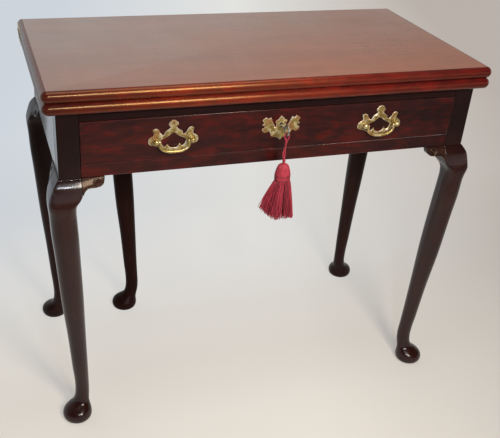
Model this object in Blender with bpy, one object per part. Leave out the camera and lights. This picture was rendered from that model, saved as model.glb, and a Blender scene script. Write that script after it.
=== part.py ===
"""Fold-over tea table with five cabriole legs, one of them on a swinging gate, and a drawer.

Metres, +Z up. The origin is on the floor under the middle of the top. The front faces -Y,
and left and right are as someone standing in front sees them, so left is -X.
"""

import math

import bmesh
import bpy
from mathutils import Vector
from mathutils.geometry import tessellate_polygon

# Clearances
GAP = 0.0003
OVERRUN = 0.004
DRAWER_CLEARANCE = 0.0006

# The top: two leaves hinged along their rear edge
TOP_WIDTH = 0.848
TOP_DEPTH = 0.422
TABLE_HEIGHT = 0.725
LEAF_THICKNESS = 0.0208
NOSE_DEPTH = 0.0055
TOP_CORNER_RADIUS = 0.012

# The frame, set in from the edges of the top
SIDE_OVERHANG = 0.0228
FRONT_OVERHANG = 0.0196
REAR_OVERHANG = 0.0086
FRAME_HEIGHT = 0.1221
RAIL_THICKNESS = 0.020
POST_SIDE = 0.0386
POST_ARRIS = 0.0012
TOP_RAIL_HEIGHT = 0.0182
BOTTOM_RAIL_HEIGHT = 0.0222
TENON_LENGTH = 0.020
TENON_THICKNESS = 0.008
TENON_SHOULDER = 0.014
RAIL_TENON_HEIGHT = 0.009

# Legs: outward reach of the knee and of the foot from the middle of the post
KNEE_REACH = 0.0398
FOOT_RADIUS = 0.0298
FOOT_OFFSET = 0.0092

# The legs are cut by hand. Each foot stands a little nearer to the middle of the frame than
# the pattern has it, or with a minus sign a little farther out.
LEAN_FRONT_LEFT = 0.0016
LEAN_FRONT_RIGHT = -0.0035
LEAN_REAR_LEFT = 0.0009
LEAN_REAR_RIGHT = 0.0031

# Knee brackets, the shaped ears beside each knee
EAR_LENGTH = 0.0405
EAR_DROP = 0.0460
EAR_DEPTH = 0.0240

# The gate at the back
BACK_RAIL_THICKNESS = 0.018
FLY_RAIL_THICKNESS = 0.022
FLY_RAIL_INSET = 0.0004
GATE_POST_DISTANCE = 0.1962
GATE_LENGTH = 0.2650
KNUCKLE_CLEARANCE = 0.0006
KNUCKLE_FINGERS = 5
KNUCKLE_PIN_RADIUS = 0.0025
GATE_POST_INSET = 0.0018
GATE_TOP_CLEARANCE = 0.0010
SPACER_SETBACK = 0.0213
SPACER_HEIGHT = 0.070

# Drawer runners, guides and kickers
RUNNER_WIDTH = 0.0260
RUNNER_HEIGHT = 0.0180
GUIDE_HEIGHT = 0.0280

# Drawer
DRAWER_FRONT_THICKNESS = 0.019
DRAWER_SIDE_THICKNESS = 0.009
DRAWER_BACK_THICKNESS = 0.009
DRAWER_SIDE_DROP = 0.003
DRAWER_BACK_DROP = 0.009
BOTTOM_PANEL_THICKNESS = 0.006
BOTTOM_PANEL_HEIGHT = 0.0065
GROOVE_DEPTH = 0.004
BEAD_WIDTH = 0.0028
BEAD_DEPTH = 0.0045
BEAD_PROUD = 0.0011
BEAD_EASE_share = 0.25
TAIL_LENGTH = 0.0125
TAIL_COUNT = 3
TAIL_WIDTH_share = 0.58
TAIL_FLARE = 0.0022

# Lock and key
FITTINGS_X = 0.003
KEYHOLE_RISE = 0.01025
LOCK_WIDTH = 0.050
LOCK_THICKNESS = 0.012
LOCK_DROP = 0.020
BOLT_WIDTH = 0.018
BOLT_THICKNESS = 0.0035
BOLT_THROW = 0.005
BOLT_LIFT = 0.0035
BOLT_SETBACK = 0.0045
MORTISE_ROOM = 0.0010
MORTISE_SPARE_DEPTH = 0.0047
KEY_SHAFT_RADIUS = 0.0021
KEY_BIT_REACH = 0.0075
KEY_BIT_WIDTH = 0.0024
KEY_BIT_LENGTH = 0.0030
KEY_SHAFT_END = 0.0006
KEY_CAVITY_RADIUS = 0.0084
KEY_CAVITY_DEPTH = 0.0070
KEY_BOW_RADIUS = 0.0088
KEY_BOW_ROD_RADIUS = 0.0018
KEY_BOW_PROUD = 0.0300
KEYHOLE_RADIUS = 0.0034

# Brass plates and handles
PLATE_THICKNESS = 0.0016
HANDLE_END_DISTANCE = 0.1600
HANDLE_DROP = 0.00275
PLATE_HALF_WIDTH = 0.0455
PLATE_HALF_HEIGHT = 0.0290
ESCUTCHEON_HALF_WIDTH = 0.0345
ESCUTCHEON_HALF_HEIGHT = 0.0240
BOSS_SPACING = 0.0660
BOSS_RADIUS = 0.0052
BOSS_PROUD = 0.0098
POST_SHANK_RADIUS = 0.0024
NUT_RADIUS = 0.0060
NUT_THICKNESS = 0.0030
BAIL_DROP = 0.0200
BAIL_ROD_RADIUS = 0.0029
BAIL_TIP_RADIUS = 0.0014
BAIL_TIP_DEPTH = 0.0035
PIN_HEAD_RADIUS = 0.0016
PIN_SHANK_RADIUS = 0.0006
PIN_LENGTH = 0.009
PIN_HEAD_HEIGHT = 0.0008
ESCUTCHEON_PIN_X = 0.0240

# Tassel on the key
CORD_DIAMETER = 0.0036
CORD_LENGTH = 0.0501
CORD_TIP_LENGTH = 0.0034
TASSEL_HEAD_RADIUS = 0.0125
TASSEL_HEAD_HEIGHT = 0.0265
TASSEL_SKIRT_LENGTH = 0.0905
TASSEL_SKIRT_HALF_WIDTH = 0.0345
TASSEL_SKIRT_HALF_DEPTH = 0.0130

# Card-table hinges in the rear ends of the side edges
HINGE_LENGTH = 0.056
HINGE_HEIGHT = 0.0090
HINGE_END = 0.0050
HINGE_EYE_RADIUS = 0.0052
HINGE_LAYER = 0.0013
HINGE_PIN_RADIUS = 0.0016
HINGE_PIN_HEAD_RADIUS = 0.0026
HINGE_PIN_HEAD_HEIGHT = 0.0008
RIVET_CROWN_share = 0.6

# Places that follow from the sizes above
HALF_TOP = TOP_WIDTH / 2
TOP_FRONT = -TOP_DEPTH / 2
TOP_REAR = TOP_DEPTH / 2
UPPER_BOTTOM = TABLE_HEIGHT - LEAF_THICKNESS
LOWER_TOP = UPPER_BOTTOM - GAP
LOWER_BOTTOM = LOWER_TOP - LEAF_THICKNESS
FRAME_TOP = LOWER_BOTTOM - GAP
LEAF_AXIS_Y = TOP_REAR + GAP / 2
LEAF_AXIS_Z = LOWER_TOP + GAP / 2

HALF_FRAME = HALF_TOP - SIDE_OVERHANG
FRAME_FRONT = TOP_FRONT + FRONT_OVERHANG
FRAME_BACK = TOP_REAR - REAR_OVERHANG
RAIL_BOTTOM = FRAME_TOP - FRAME_HEIGHT
POST_HALF = POST_SIDE / 2
POST_INNER_X = HALF_FRAME - POST_SIDE
FRONT_POST_Y = FRAME_FRONT + POST_HALF
REAR_POST_Y = FRAME_BACK - POST_HALF
SIDE_RAIL_INNER_X = HALF_FRAME - RAIL_THICKNESS
FRONT_RAIL_DEPTH = POST_SIDE

OPENING_BOTTOM = RAIL_BOTTOM + BOTTOM_RAIL_HEIGHT
OPENING_TOP = FRAME_TOP - TOP_RAIL_HEIGHT

GATE_TOP = FRAME_TOP - GATE_TOP_CLEARANCE
GATE_POST_X = GATE_POST_DISTANCE - HALF_FRAME
KNUCKLE_X = GATE_POST_X + GATE_LENGTH
GATE_POST_Y = FRAME_BACK - GATE_POST_INSET - POST_HALF
BACK_RAIL_REAR = GATE_POST_Y - POST_HALF - GAP
BACK_RAIL_FRONT = BACK_RAIL_REAR - BACK_RAIL_THICKNESS
FLY_REAR = FRAME_BACK - FLY_RAIL_INSET
FLY_FRONT = FLY_REAR - FLY_RAIL_THICKNESS
KNUCKLE_RADIUS = FLY_RAIL_THICKNESS / 2
KNUCKLE_Y = FLY_REAR - KNUCKLE_RADIUS

DRAWER_HALF = POST_INNER_X - DRAWER_CLEARANCE
DRAWER_BOTTOM = OPENING_BOTTOM + DRAWER_CLEARANCE
DRAWER_TOP = OPENING_TOP - DRAWER_CLEARANCE
DRAWER_FACE = FRAME_FRONT
DRAWER_FRONT_BACK = DRAWER_FACE + DRAWER_FRONT_THICKNESS
DRAWER_REAR = BACK_RAIL_FRONT - GAP
DRAWER_SIDE_INNER = DRAWER_HALF - DRAWER_SIDE_THICKNESS
PANEL_BOTTOM = DRAWER_BOTTOM + BOTTOM_PANEL_HEIGHT
PANEL_TOP = PANEL_BOTTOM + BOTTOM_PANEL_THICKNESS

HANDLE_X = DRAWER_HALF - HANDLE_END_DISTANCE
DRAWER_MIDDLE = (DRAWER_BOTTOM + DRAWER_TOP) / 2
HANDLE_HEIGHT = DRAWER_MIDDLE - HANDLE_DROP
KEY_X = FITTINGS_X
KEYHOLE_HEIGHT = DRAWER_MIDDLE + KEYHOLE_RISE
BOLT_FRONT = DRAWER_FRONT_BACK - LOCK_THICKNESS + BOLT_SETBACK
BOLT_BOTTOM = KEYHOLE_HEIGHT + BOLT_LIFT
KEY_BOW_Y = DRAWER_FACE - KEY_BOW_PROUD
BOSS_Y = DRAWER_FACE - BOSS_PROUD
TASSEL_Y = KEY_BOW_Y
TASSEL_HANG_Z = KEYHOLE_HEIGHT - KEY_BOW_RADIUS - KEY_BOW_ROD_RADIUS - GAP
TASSEL_HEAD_TOP = TASSEL_HANG_Z - CORD_LENGTH

# Cabriole leg above the foot. Each station gives its height as a share of RAIL_BOTTOM, the
# outer face as a share of KNEE_REACH, the inner face as a share of POST_HALF, the rounding of
# the outer corner and of the other corners as shares of half the section, and the width
# across the diagonal as a share of the width along it.
SHIN_STATION_shares = [
    (0.085, 0.291, 0.979, 1.00, 1.00, 0.93),
    (0.118, 0.250, 1.020, 1.00, 1.00, 0.91),
    (0.152, 0.261, 0.991, 1.00, 1.00, 0.935),
    (0.214, 0.329, 0.946, 1.00, 1.00, 0.975),
    (0.357, 0.470, 0.873, 1.00, 1.00, 0.98),
    (0.535, 0.690, 0.800, 0.92, 0.92, 0.96),
    (0.713, 0.837, 0.605, 0.85, 0.85, 1.02),
    (0.804, 0.917, 0.437, 0.80, 0.80, 1.08),
    (0.864, 0.944, 0.340, 0.80, 0.74, 1.08),
    (0.886, 0.966, 0.400, 0.72, 0.50, 1.06),
    (0.902, 0.990, 0.687, 0.62, 0.26, 1.03),
    (0.915, 1.000, 0.966, 0.55, 0.10, 1.00),
    (0.932, 0.978, 1.000, 0.48, 0.07, 1.00),
    (0.949, 0.895, 1.000, 0.36, 0.06, 1.00),
    (0.967, 0.781, 1.000, 0.19, 0.05, 1.00),
    (0.978, 0.716, 1.000, 0.10, 0.05, 1.00),
    (0.990, 0.621, 1.000, 0.07, 0.05, 1.00),
]

# Pad foot: height and radius as shares of FOOT_RADIUS, offset of its middle from the middle
# of the post as a share of FOOT_OFFSET, and the width across as for the shin.
FOOT_STATION_shares = [
    (0.000, 0.846, 1.00, 1.00),
    (0.050, 0.903, 1.00, 1.00),
    (0.151, 0.960, 1.00, 1.00),
    (0.350, 1.000, 0.99, 1.00),
    (0.547, 0.973, 0.95, 1.00),
    (0.738, 0.895, 0.80, 1.00),
    (0.940, 0.737, 0.44, 1.00),
    (1.141, 0.582, 0.00, 0.98),
    (1.410, 0.525, -0.28, 0.95),
]

# Where a leg's lean starts and where it is complete, as shares of RAIL_BOTTOM
LEAN_TOP_share = 0.89
LEAN_FULL_share = 0.18

# Underside of an ear: distance from the knee as a share of EAR_LENGTH, and drop below the
# rail as a share of EAR_DROP.
EAR_OUTLINE_shares = [
    (0.00, 1.00),
    (0.06, 0.82),
    (0.14, 0.66),
    (0.24, 0.53),
    (0.38, 0.46),
    (0.55, 0.43),
    (0.72, 0.42),
    (0.86, 0.40),
    (0.95, 0.33),
    (1.00, 0.20),
]
EAR_FADE_share = 0.55

# Left half of a backplate, from the top middle round to the bottom middle, as shares of
# PLATE_HALF_WIDTH and PLATE_HALF_HEIGHT from the middle between the bosses. The third value
# is 1 at a sharp point and 0 on a smooth curve.
BACKPLATE_shares = [
    (0.00, 1.25, 0),
    (-0.09, 1.20, 0),
    (-0.17, 1.08, 0),
    (-0.20, 0.94, 0),
    (-0.11, 0.78, 1),
    (-0.22, 0.64, 0),
    (-0.32, 0.52, 0),
    (-0.38, 0.31, 1),
    (-0.45, 0.33, 0),
    (-0.54, 0.50, 0),
    (-0.59, 0.66, 0),
    (-0.70, 0.75, 0),
    (-0.82, 0.66, 0),
    (-0.78, 0.46, 0),
    (-0.80, 0.29, 1),
    (-0.94, 0.15, 0),
    (-1.00, -0.07, 0),
    (-0.94, -0.29, 0),
    (-0.77, -0.37, 0),
    (-0.64, -0.42, 1),
    (-0.47, -0.60, 0),
    (-0.25, -0.71, 0),
    (0.00, -0.74, 0),
]
BACKPLATE_OPENING_shares = [
    (0.00, 0.46, 1),
    (-0.08, 0.37, 0),
    (-0.20, 0.22, 0),
    (-0.32, 0.11, 0),
    (-0.45, 0.02, 0),
    (-0.505, -0.09, 0),
    (-0.44, -0.35, 0),
    (-0.34, -0.45, 0),
    (-0.24, -0.28, 1),
    (-0.15, -0.51, 0),
    (0.00, -0.545, 0),
]

# Left half of the escutcheon, in the same way
ESCUTCHEON_shares = [
    (0.00, 0.71, 1),
    (-0.13, 0.56, 0),
    (-0.24, 0.31, 0),
    (-0.22, 0.06, 0),
    (-0.27, -0.22, 1),
    (-0.41, -0.02, 0),
    (-0.45, 0.25, 0),
    (-0.44, 0.52, 0),
    (-0.57, 0.43, 1),
    (-0.72, 0.56, 0),
    (-0.90, 0.48, 0),
    (-0.84, 0.23, 1),
    (-0.96, 0.02, 0),
    (-0.80, -0.12, 1),
    (-0.97, -0.33, 0),
    (-0.90, -0.52, 0),
    (-0.75, -0.56, 0),
    (-0.57, -0.46, 1),
    (-0.50, -0.71, 0),
    (-0.40, -0.92, 0),
    (-0.23, -0.98, 1),
    (-0.12, -1.10, 0),
    (0.00, -1.29, 1),
]

# Right half of a bail, from the bottom middle up to its end, as shares of half the boss
# spacing and of BAIL_DROP, with the rod's radius as a share of BAIL_ROD_RADIUS.
BAIL_PATH_shares = [
    (0.00, -1.00, 1.00),
    (0.27, -0.975, 0.98),
    (0.52, -0.87, 0.92),
    (0.72, -0.66, 0.86),
    (0.80, -0.42, 0.80),
    (0.785, -0.20, 0.74),
]

# Tassel head, from the cord down: radius and depth as shares of TASSEL_HEAD_RADIUS and
# TASSEL_HEAD_HEIGHT.
TASSEL_HEAD_shares = [
    (0.28, 0.00),
    (0.62, 0.10),
    (0.92, 0.32),
    (1.00, 0.55),
    (0.94, 0.80),
    (0.90, 1.00),
]

# Top of the tassel's cord: depth as a share of CORD_TIP_LENGTH and thickness as a share of
# CORD_DIAMETER.
CORD_TIP_shares = [
    (0.00, 0.12),
    (0.30, 0.20),
    (0.60, 0.48),
    (1.00, 1.00),
]

# Handle post outside the drawer, from its ball to the plate: radius as a share of
# BOSS_RADIUS, and distance behind the middle of the ball as a share of BOSS_RADIUS.
BOSS_shares = [
    (0.21, -0.98),
    (0.56, -0.83),
    (0.84, -0.54),
    (0.99, -0.16),
    (0.97, 0.25),
    (0.79, 0.62),
    (0.65, 0.90),
    (0.65, 1.25),
    (0.82, 1.50),
]

# Tassel skirt, from the binding down: depth as a share of TASSEL_SKIRT_LENGTH, then the
# left and the right edge as shares of TASSEL_SKIRT_HALF_WIDTH, and the front and back as a
# share of TASSEL_SKIRT_HALF_DEPTH.
SKIRT_shares = [
    (0.00, -0.36, 0.34, 0.88),
    (0.06, -0.44, 0.42, 0.96),
    (0.22, -0.60, 0.46, 0.99),
    (0.45, -0.88, 0.50, 1.00),
    (0.65, -1.10, 0.54, 1.00),
    (0.80, -1.28, 0.57, 1.00),
    (0.90, -1.16, 0.60, 0.97),
    (1.00, -0.74, 0.60, 0.88),
]

LEG_SIDES = 24
ROUND_SIDES = 16
SCREW_SIDES = 12
PIN_SIDES = 8
NOSE_STEPS = 12
CORNER_STEPS = 5
EYE_STEPS = 12


def clear_scene():
    """Remove whatever objects the file holds."""
    for obj in list(bpy.data.objects):
        bpy.data.objects.remove(obj)


def make_material(name, colour, roughness, metallic=0.0):
    """A Principled material of one colour."""
    material = bpy.data.materials.new(name)
    material.use_nodes = True
    shader = material.node_tree.nodes["Principled BSDF"]
    shader.inputs["Base Color"].default_value = (*colour, 1.0)
    shader.inputs["Roughness"].default_value = roughness
    shader.inputs["Metallic"].default_value = metallic
    return material


FINISHES = {
    "mahogany_top": ((0.210, 0.085, 0.052), 0.30, 0.0),
    "mahogany_dark": ((0.060, 0.016, 0.011), 0.28, 0.0),
    "mahogany_drawer": ((0.085, 0.020, 0.014), 0.30, 0.0),
    "oak": ((0.330, 0.190, 0.090), 0.65, 0.0),
    "brass": ((0.560, 0.390, 0.140), 0.32, 1.0),
    "iron": ((0.120, 0.110, 0.100), 0.50, 1.0),
    "silk": ((0.400, 0.015, 0.025), 0.70, 0.0),
}


def finish_object(name, bm, finish, origin=(0.0, 0.0, 0.0), smooth_angle=40.0):
    """Turn a bmesh into a named object with its own material and its origin where asked."""
    bmesh.ops.recalc_face_normals(bm, faces=bm.faces[:])
    bmesh.ops.translate(bm, verts=bm.verts[:], vec=-Vector(origin))
    mesh = bpy.data.meshes.new(name)
    bm.to_mesh(mesh)
    bm.free()
    mesh.shade_smooth()
    mesh.set_sharp_from_angle(angle=math.radians(smooth_angle))
    obj = bpy.data.objects.new(name, mesh)
    obj.location = origin
    colour, roughness, metallic = FINISHES[finish]
    mesh.materials.append(make_material(name + "_finish", colour, roughness, metallic))
    bpy.context.collection.objects.link(obj)
    return obj


def cut(target, cutters, operation="DIFFERENCE"):
    """Cut a bmesh of closed bodies out of an object, or join it on, with a live Boolean."""
    bmesh.ops.recalc_face_normals(cutters, faces=cutters.faces[:])
    bmesh.ops.translate(cutters, verts=cutters.verts[:], vec=-target.location)
    index = len(target.modifiers) + 1
    mesh = bpy.data.meshes.new(f"{target.name}_cutter_{index}")
    cutters.to_mesh(mesh)
    cutters.free()
    tool = bpy.data.objects.new(mesh.name, mesh)
    tool.location = target.location
    tool.hide_render = True
    tool.display_type = "WIRE"
    bpy.context.collection.objects.link(tool)
    modifier = target.modifiers.new(f"cut_{index}", "BOOLEAN")
    modifier.operation = operation
    modifier.solver = "EXACT"
    modifier.object = tool


def loft(bm, rings):
    """Skin a run of rings with equal numbers of points, and close both ends."""
    loops = [[bm.verts.new(point) for point in ring] for ring in rings]
    for lower, upper in zip(loops, loops[1:]):
        for i in range(len(lower)):
            j = (i + 1) % len(lower)
            bm.faces.new((lower[i], lower[j], upper[j], upper[i]))
    bm.faces.new(list(reversed(loops[0])))
    bm.faces.new(loops[-1])
    return loops


def add_box(bm, low, high, arris=0.0):
    """A box between two corners, with its edges eased by a small chamfer."""
    part = bmesh.new()
    bmesh.ops.create_cube(part, size=1.0)
    size = Vector(high) - Vector(low)
    centre = (Vector(high) + Vector(low)) / 2
    bmesh.ops.scale(part, verts=part.verts[:], vec=size)
    bmesh.ops.translate(part, verts=part.verts[:], vec=centre)
    if arris > 0:
        bmesh.ops.bevel(part, geom=part.edges[:], offset=arris, segments=1, affect="EDGES")
    merge_into(bm, part)


def merge_into(bm, part):
    """Move the geometry of one bmesh into another."""
    mesh = bpy.data.meshes.new("joined")
    part.to_mesh(mesh)
    part.free()
    bm.from_mesh(mesh)
    bpy.data.meshes.remove(mesh)


def box_object(name, low, high, finish, arris=0.0, origin=(0.0, 0.0, 0.0)):
    """A board or block as its own object."""
    bm = bmesh.new()
    add_box(bm, low, high, arris)
    return finish_object(name, bm, finish, origin)


def box_tool(*corners):
    """A cutter of separate boxes, each given by its low and high corner."""
    bm = bmesh.new()
    for low, high in corners:
        add_box(bm, low, high)
    return bm


def turned(bm, profile, start, direction, sides=ROUND_SIDES):
    """A solid of revolution from (radius, distance) pairs along a direction."""
    turn = Vector(direction).to_track_quat("Z", "Y").to_matrix()
    rings = []
    for radius, distance in profile:
        ring = []
        for i in range(sides):
            angle = math.tau * i / sides
            point = Vector((radius * math.cos(angle), radius * math.sin(angle), distance))
            ring.append(Vector(start) + turn @ point)
        rings.append(ring)
    loft(bm, rings)


def rod(bm, radius, start, end, sides=ROUND_SIDES):
    """A plain round rod between two points."""
    along = Vector(end) - Vector(start)
    turned(bm, [(radius, 0.0), (radius, along.length)], start, along, sides)


def prism(bm, outline, low, high, place):
    """Extrude a flat outline. place turns (a, b, t) into a point, t running low to high."""
    loft(bm, [[place(a, b, t) for a, b in outline] for t in (low, high)])


def smooth_loop(points, steps):
    """A closed Catmull-Rom curve through (a, b, sharp) points, with no slope at sharp ones."""
    count = len(points)
    slopes = []
    for i, (_, _, sharp) in enumerate(points):
        before, after = points[i - 1], points[(i + 1) % count]
        share = 0.0 if sharp else 0.5
        slopes.append((share * (after[0] - before[0]), share * (after[1] - before[1])))
    curve = []
    for i in range(count):
        start, end = points[i], points[(i + 1) % count]
        leave, arrive = slopes[i], slopes[(i + 1) % count]
        for step in range(steps):
            t = step / steps
            h00 = 2 * t**3 - 3 * t**2 + 1
            h10 = t**3 - 2 * t**2 + t
            h01 = 3 * t**2 - 2 * t**3
            h11 = t**3 - t**2
            curve.append(tuple(
                h00 * start[k] + h10 * leave[k] + h01 * end[k] + h11 * arrive[k]
                for k in range(2)
            ))
    return curve


def mirrored_outline(half, half_width, half_height, steps):
    """Both halves of an outline given from its top middle to its bottom middle."""
    left = [(a * half_width, b * half_height, sharp) for a, b, sharp in half]
    right = [(-a, b, sharp) for a, b, sharp in reversed(left[1:-1])]
    return smooth_loop(left + right, steps)


def pierced_plate(bm, outline, holes, back_y, front_y, centre):
    """A flat plate with holes, standing up and facing the front."""
    loops = [outline] + holes
    flat = [[Vector((a, b, 0.0)) for a, b in loop] for loop in loops]
    triangles = tessellate_polygon(flat)
    points = [point for loop in loops for point in loop]
    layers = []
    for y in (back_y, front_y):
        layers.append([bm.verts.new((centre[0] + a, y, centre[1] + b)) for a, b in points])
    back, front = layers
    for i, j, k in triangles:
        bm.faces.new((front[i], front[j], front[k]))
        bm.faces.new((back[k], back[j], back[i]))
    first = 0
    for loop in loops:
        count = len(loop)
        for i in range(count):
            a, b = first + i, first + (i + 1) % count
            bm.faces.new((back[a], back[b], front[b], front[a]))
        first += count


def circle(centre_a, centre_b, radius, sides=ROUND_SIDES):
    """Points of a round hole in a plate."""
    return [
        (centre_a + radius * math.cos(math.tau * i / sides),
         centre_b + radius * math.sin(math.tau * i / sides))
        for i in range(sides)
    ]


# The two leaves of the top

def leaf_outline(inset):
    """A leaf seen from above: rounded front corners and square rear ones."""
    half = HALF_TOP - inset
    front = TOP_FRONT + inset
    radius = TOP_CORNER_RADIUS - inset
    points = [(-half, TOP_REAR)]
    for side, start in ((-1, math.pi), (1, 1.5 * math.pi)):
        centre_x = side * (half - radius)
        for step in range(CORNER_STEPS + 1):
            angle = start + 0.5 * math.pi * step / CORNER_STEPS
            x = centre_x + radius * math.cos(angle)
            y = front + radius + radius * math.sin(angle)
            points.append((x, y))
    points.append((half, TOP_REAR))
    return points


def leaf(name, bottom):
    """One board of the top, with a nose that is half an ellipse on its front and ends."""
    bm = bmesh.new()
    rings = []
    middle = bottom + LEAF_THICKNESS / 2
    for step in range(NOSE_STEPS + 1):
        angle = math.pi * (step / NOSE_STEPS - 0.5)
        inset = NOSE_DEPTH * (1 - math.cos(angle))
        z = middle + LEAF_THICKNESS / 2 * math.sin(angle)
        rings.append([(x, y, z) for x, y in leaf_outline(inset)])
    loft(bm, rings)
    return finish_object(name, bm, "mahogany_top", (0.0, LEAF_AXIS_Y, LEAF_AXIS_Z))


def hinge_profile(up, grow):
    """The strip and arm of a hinge plate, seen from the side as (y, z) points."""
    middle = LEAF_AXIS_Z + up * (LEAF_THICKNESS / 2 + GAP / 2)
    half = HINGE_HEIGHT / 2 + grow
    far = TOP_REAR - HINGE_LENGTH - grow
    end = TOP_REAR - HINGE_END
    eye = HINGE_EYE_RADIUS + grow
    outline = [(far, middle - up * half), (far, middle + up * half), (end, middle + up * half)]
    for step in range(EYE_STEPS + 1):
        angle = math.pi / 2 - 1.5 * math.pi * step / EYE_STEPS
        y = LEAF_AXIS_Y + eye * math.cos(angle)
        z = LEAF_AXIS_Z + up * eye * math.sin(angle)
        outline.append((y, z))
    outline.append((end - HINGE_HEIGHT, middle - up * half))
    return outline


def hinge_layers(up):
    """Where along x a plate's strip and its thinner eye start and end."""
    outer = HALF_TOP
    inner = outer - 2 * HINGE_LAYER - GAP
    if up > 0:
        return (inner, outer), (inner, inner + HINGE_LAYER)
    return (inner, outer), (outer - HINGE_LAYER, outer)


def hinge_plate(name, up, side):
    """The plate in one end of the lower leaf (up = -1) or of the upper one (+1)."""
    bm = bmesh.new()
    strip, _ = hinge_layers(up)
    prism(bm, hinge_profile(up, 0.0), strip[0], strip[1], lambda y, z, x: (side * x, y, z))
    plate = finish_object(name, bm, "brass", (0.0, LEAF_AXIS_Y, LEAF_AXIS_Z))
    cut(plate, hinge_lap_tool(up))
    cut(plate, hinge_hole_tool())
    return plate


def hinge_lap_tool(up):
    """Takes away the half of the eye's thickness that the other plate's eye fills."""
    bm = bmesh.new()
    radius = HINGE_EYE_RADIUS + GAP
    _, eye = hinge_layers(up)
    for side in (-1, 1):
        if up > 0:
            low, high = eye[1], HALF_TOP + OVERRUN
        else:
            low, high = HALF_TOP - 2 * HINGE_LAYER - OVERRUN, eye[0]
        start = (side * low, LEAF_AXIS_Y, LEAF_AXIS_Z)
        end = (side * high, LEAF_AXIS_Y, LEAF_AXIS_Z)
        rod(bm, radius, start, end)
    return bm


def hinge_hole_tool():
    """The pin's holes through the eyes of both hinges."""
    bm = bmesh.new()
    for side in (-1, 1):
        start = (side * (HALF_TOP - 4 * HINGE_LAYER), LEAF_AXIS_Y, LEAF_AXIS_Z)
        end = (side * (HALF_TOP + OVERRUN), LEAF_AXIS_Y, LEAF_AXIS_Z)
        rod(bm, HINGE_PIN_RADIUS + GAP, start, end, SCREW_SIDES)
    return bm


def hinge_pocket_tool(up):
    """The recesses for the plates in the ends of one leaf."""
    bm = bmesh.new()
    low = HALF_TOP - 2 * HINGE_LAYER - 2 * GAP
    high = HALF_TOP + OVERRUN
    for side in (-1, 1):
        prism(bm, hinge_profile(up, GAP), low, high, lambda y, z, x: (side * x, y, z))
    return bm


def hinge_eye_tool():
    """Round clearance for the other leaf's hinge eye, centred on the hinge axis."""
    bm = bmesh.new()
    low = HALF_TOP - 2 * HINGE_LAYER - 2 * GAP
    for side in (-1, 1):
        start = (side * low, LEAF_AXIS_Y, LEAF_AXIS_Z)
        end = (side * (HALF_TOP + OVERRUN), LEAF_AXIS_Y, LEAF_AXIS_Z)
        rod(bm, HINGE_EYE_RADIUS + 2 * GAP, start, end)
    return bm


def hinge_pin(name, side):
    """A riveted pin through a hinge, with a low round head outside."""
    bm = bmesh.new()
    inner = HALF_TOP - 2 * HINGE_LAYER - GAP
    length = HALF_TOP + GAP - inner
    profile = [
        (HINGE_PIN_RADIUS, 0.0),
        (HINGE_PIN_RADIUS, length),
        (HINGE_PIN_HEAD_RADIUS, length),
        (HINGE_PIN_HEAD_RADIUS * RIVET_CROWN_share, length + HINGE_PIN_HEAD_HEIGHT),
    ]
    turned(bm, profile, (side * inner, LEAF_AXIS_Y, LEAF_AXIS_Z), (side, 0, 0), SCREW_SIDES)
    return finish_object(name, bm, "brass")


def build_top():
    """Both leaves and the card-table hinges between them."""
    leaves = {-1: leaf("lower_leaf", LOWER_BOTTOM), 1: leaf("upper_leaf", UPPER_BOTTOM)}
    for up, level in ((-1, "lower"), (1, "upper")):
        cut(leaves[up], hinge_pocket_tool(up))
        cut(leaves[up], hinge_eye_tool())
        for side, hand in ((-1, "left"), (1, "right")):
            hinge_plate(f"hinge_plate_{level}_{hand}", up, side)
    for side, hand in ((-1, "left"), (1, "right")):
        hinge_pin(f"hinge_pin_{hand}", side)


# Legs

def section(u_low, u_high, v_low, v_high, radii):
    """A rectangle with rounded corners, as (u, v) points. radii run from the outer corner
    round through the (low, high), (low, low) and (high, low) corners."""
    corners = [
        (u_high - radii[0], v_high - radii[0]),
        (u_low + radii[1], v_high - radii[1]),
        (u_low + radii[2], v_low + radii[2]),
        (u_high - radii[3], v_low + radii[3]),
    ]
    steps = LEG_SIDES // 4
    points = []
    for quarter, ((centre_u, centre_v), radius) in enumerate(zip(corners, radii)):
        for step in range(steps):
            angle = math.pi / 2 * (quarter + (step + 1 / 2) / steps)
            u = centre_u + radius * math.cos(angle)
            v = centre_v + radius * math.sin(angle)
            points.append((u, v))
    return points


def leg_stations():
    """Heights and outer and inner faces of the leg, rounding of its corners, and squeeze."""
    stations = []
    for height, radius, offset, squeeze in FOOT_STATION_shares:
        size = radius * FOOT_RADIUS
        middle = offset * FOOT_OFFSET
        stations.append((height * FOOT_RADIUS, middle + size, middle - size, 1.0, 1.0, squeeze))
    for height, outer, inner, round_out, round_side, squeeze in SHIN_STATION_shares:
        high = outer * KNEE_REACH
        low = -inner * POST_HALF
        stations.append((height * RAIL_BOTTOM, high, low, round_out, round_side, squeeze))
    arris = POST_ARRIS / POST_HALF
    stations.append((RAIL_BOTTOM, POST_HALF, -POST_HALF, arris, arris, 1.0))
    return stations


def lean_at(z):
    """Share of a leg's lean at a height: none in the post, all of it at the foot."""
    top = LEAN_TOP_share * RAIL_BOTTOM
    full = LEAN_FULL_share * RAIL_BOTTOM
    return min(1.0, max(0.0, (top - z) / (top - full)))


def knee_reach_at(z):
    """How far the knee's outer face stands from the middle of the post at a height."""
    stations = leg_stations()
    for below, above in zip(stations, stations[1:]):
        if below[0] <= z <= above[0]:
            share = (z - below[0]) / (above[0] - below[0])
            return below[1] + share * (above[1] - below[1])
    return POST_HALF


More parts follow.
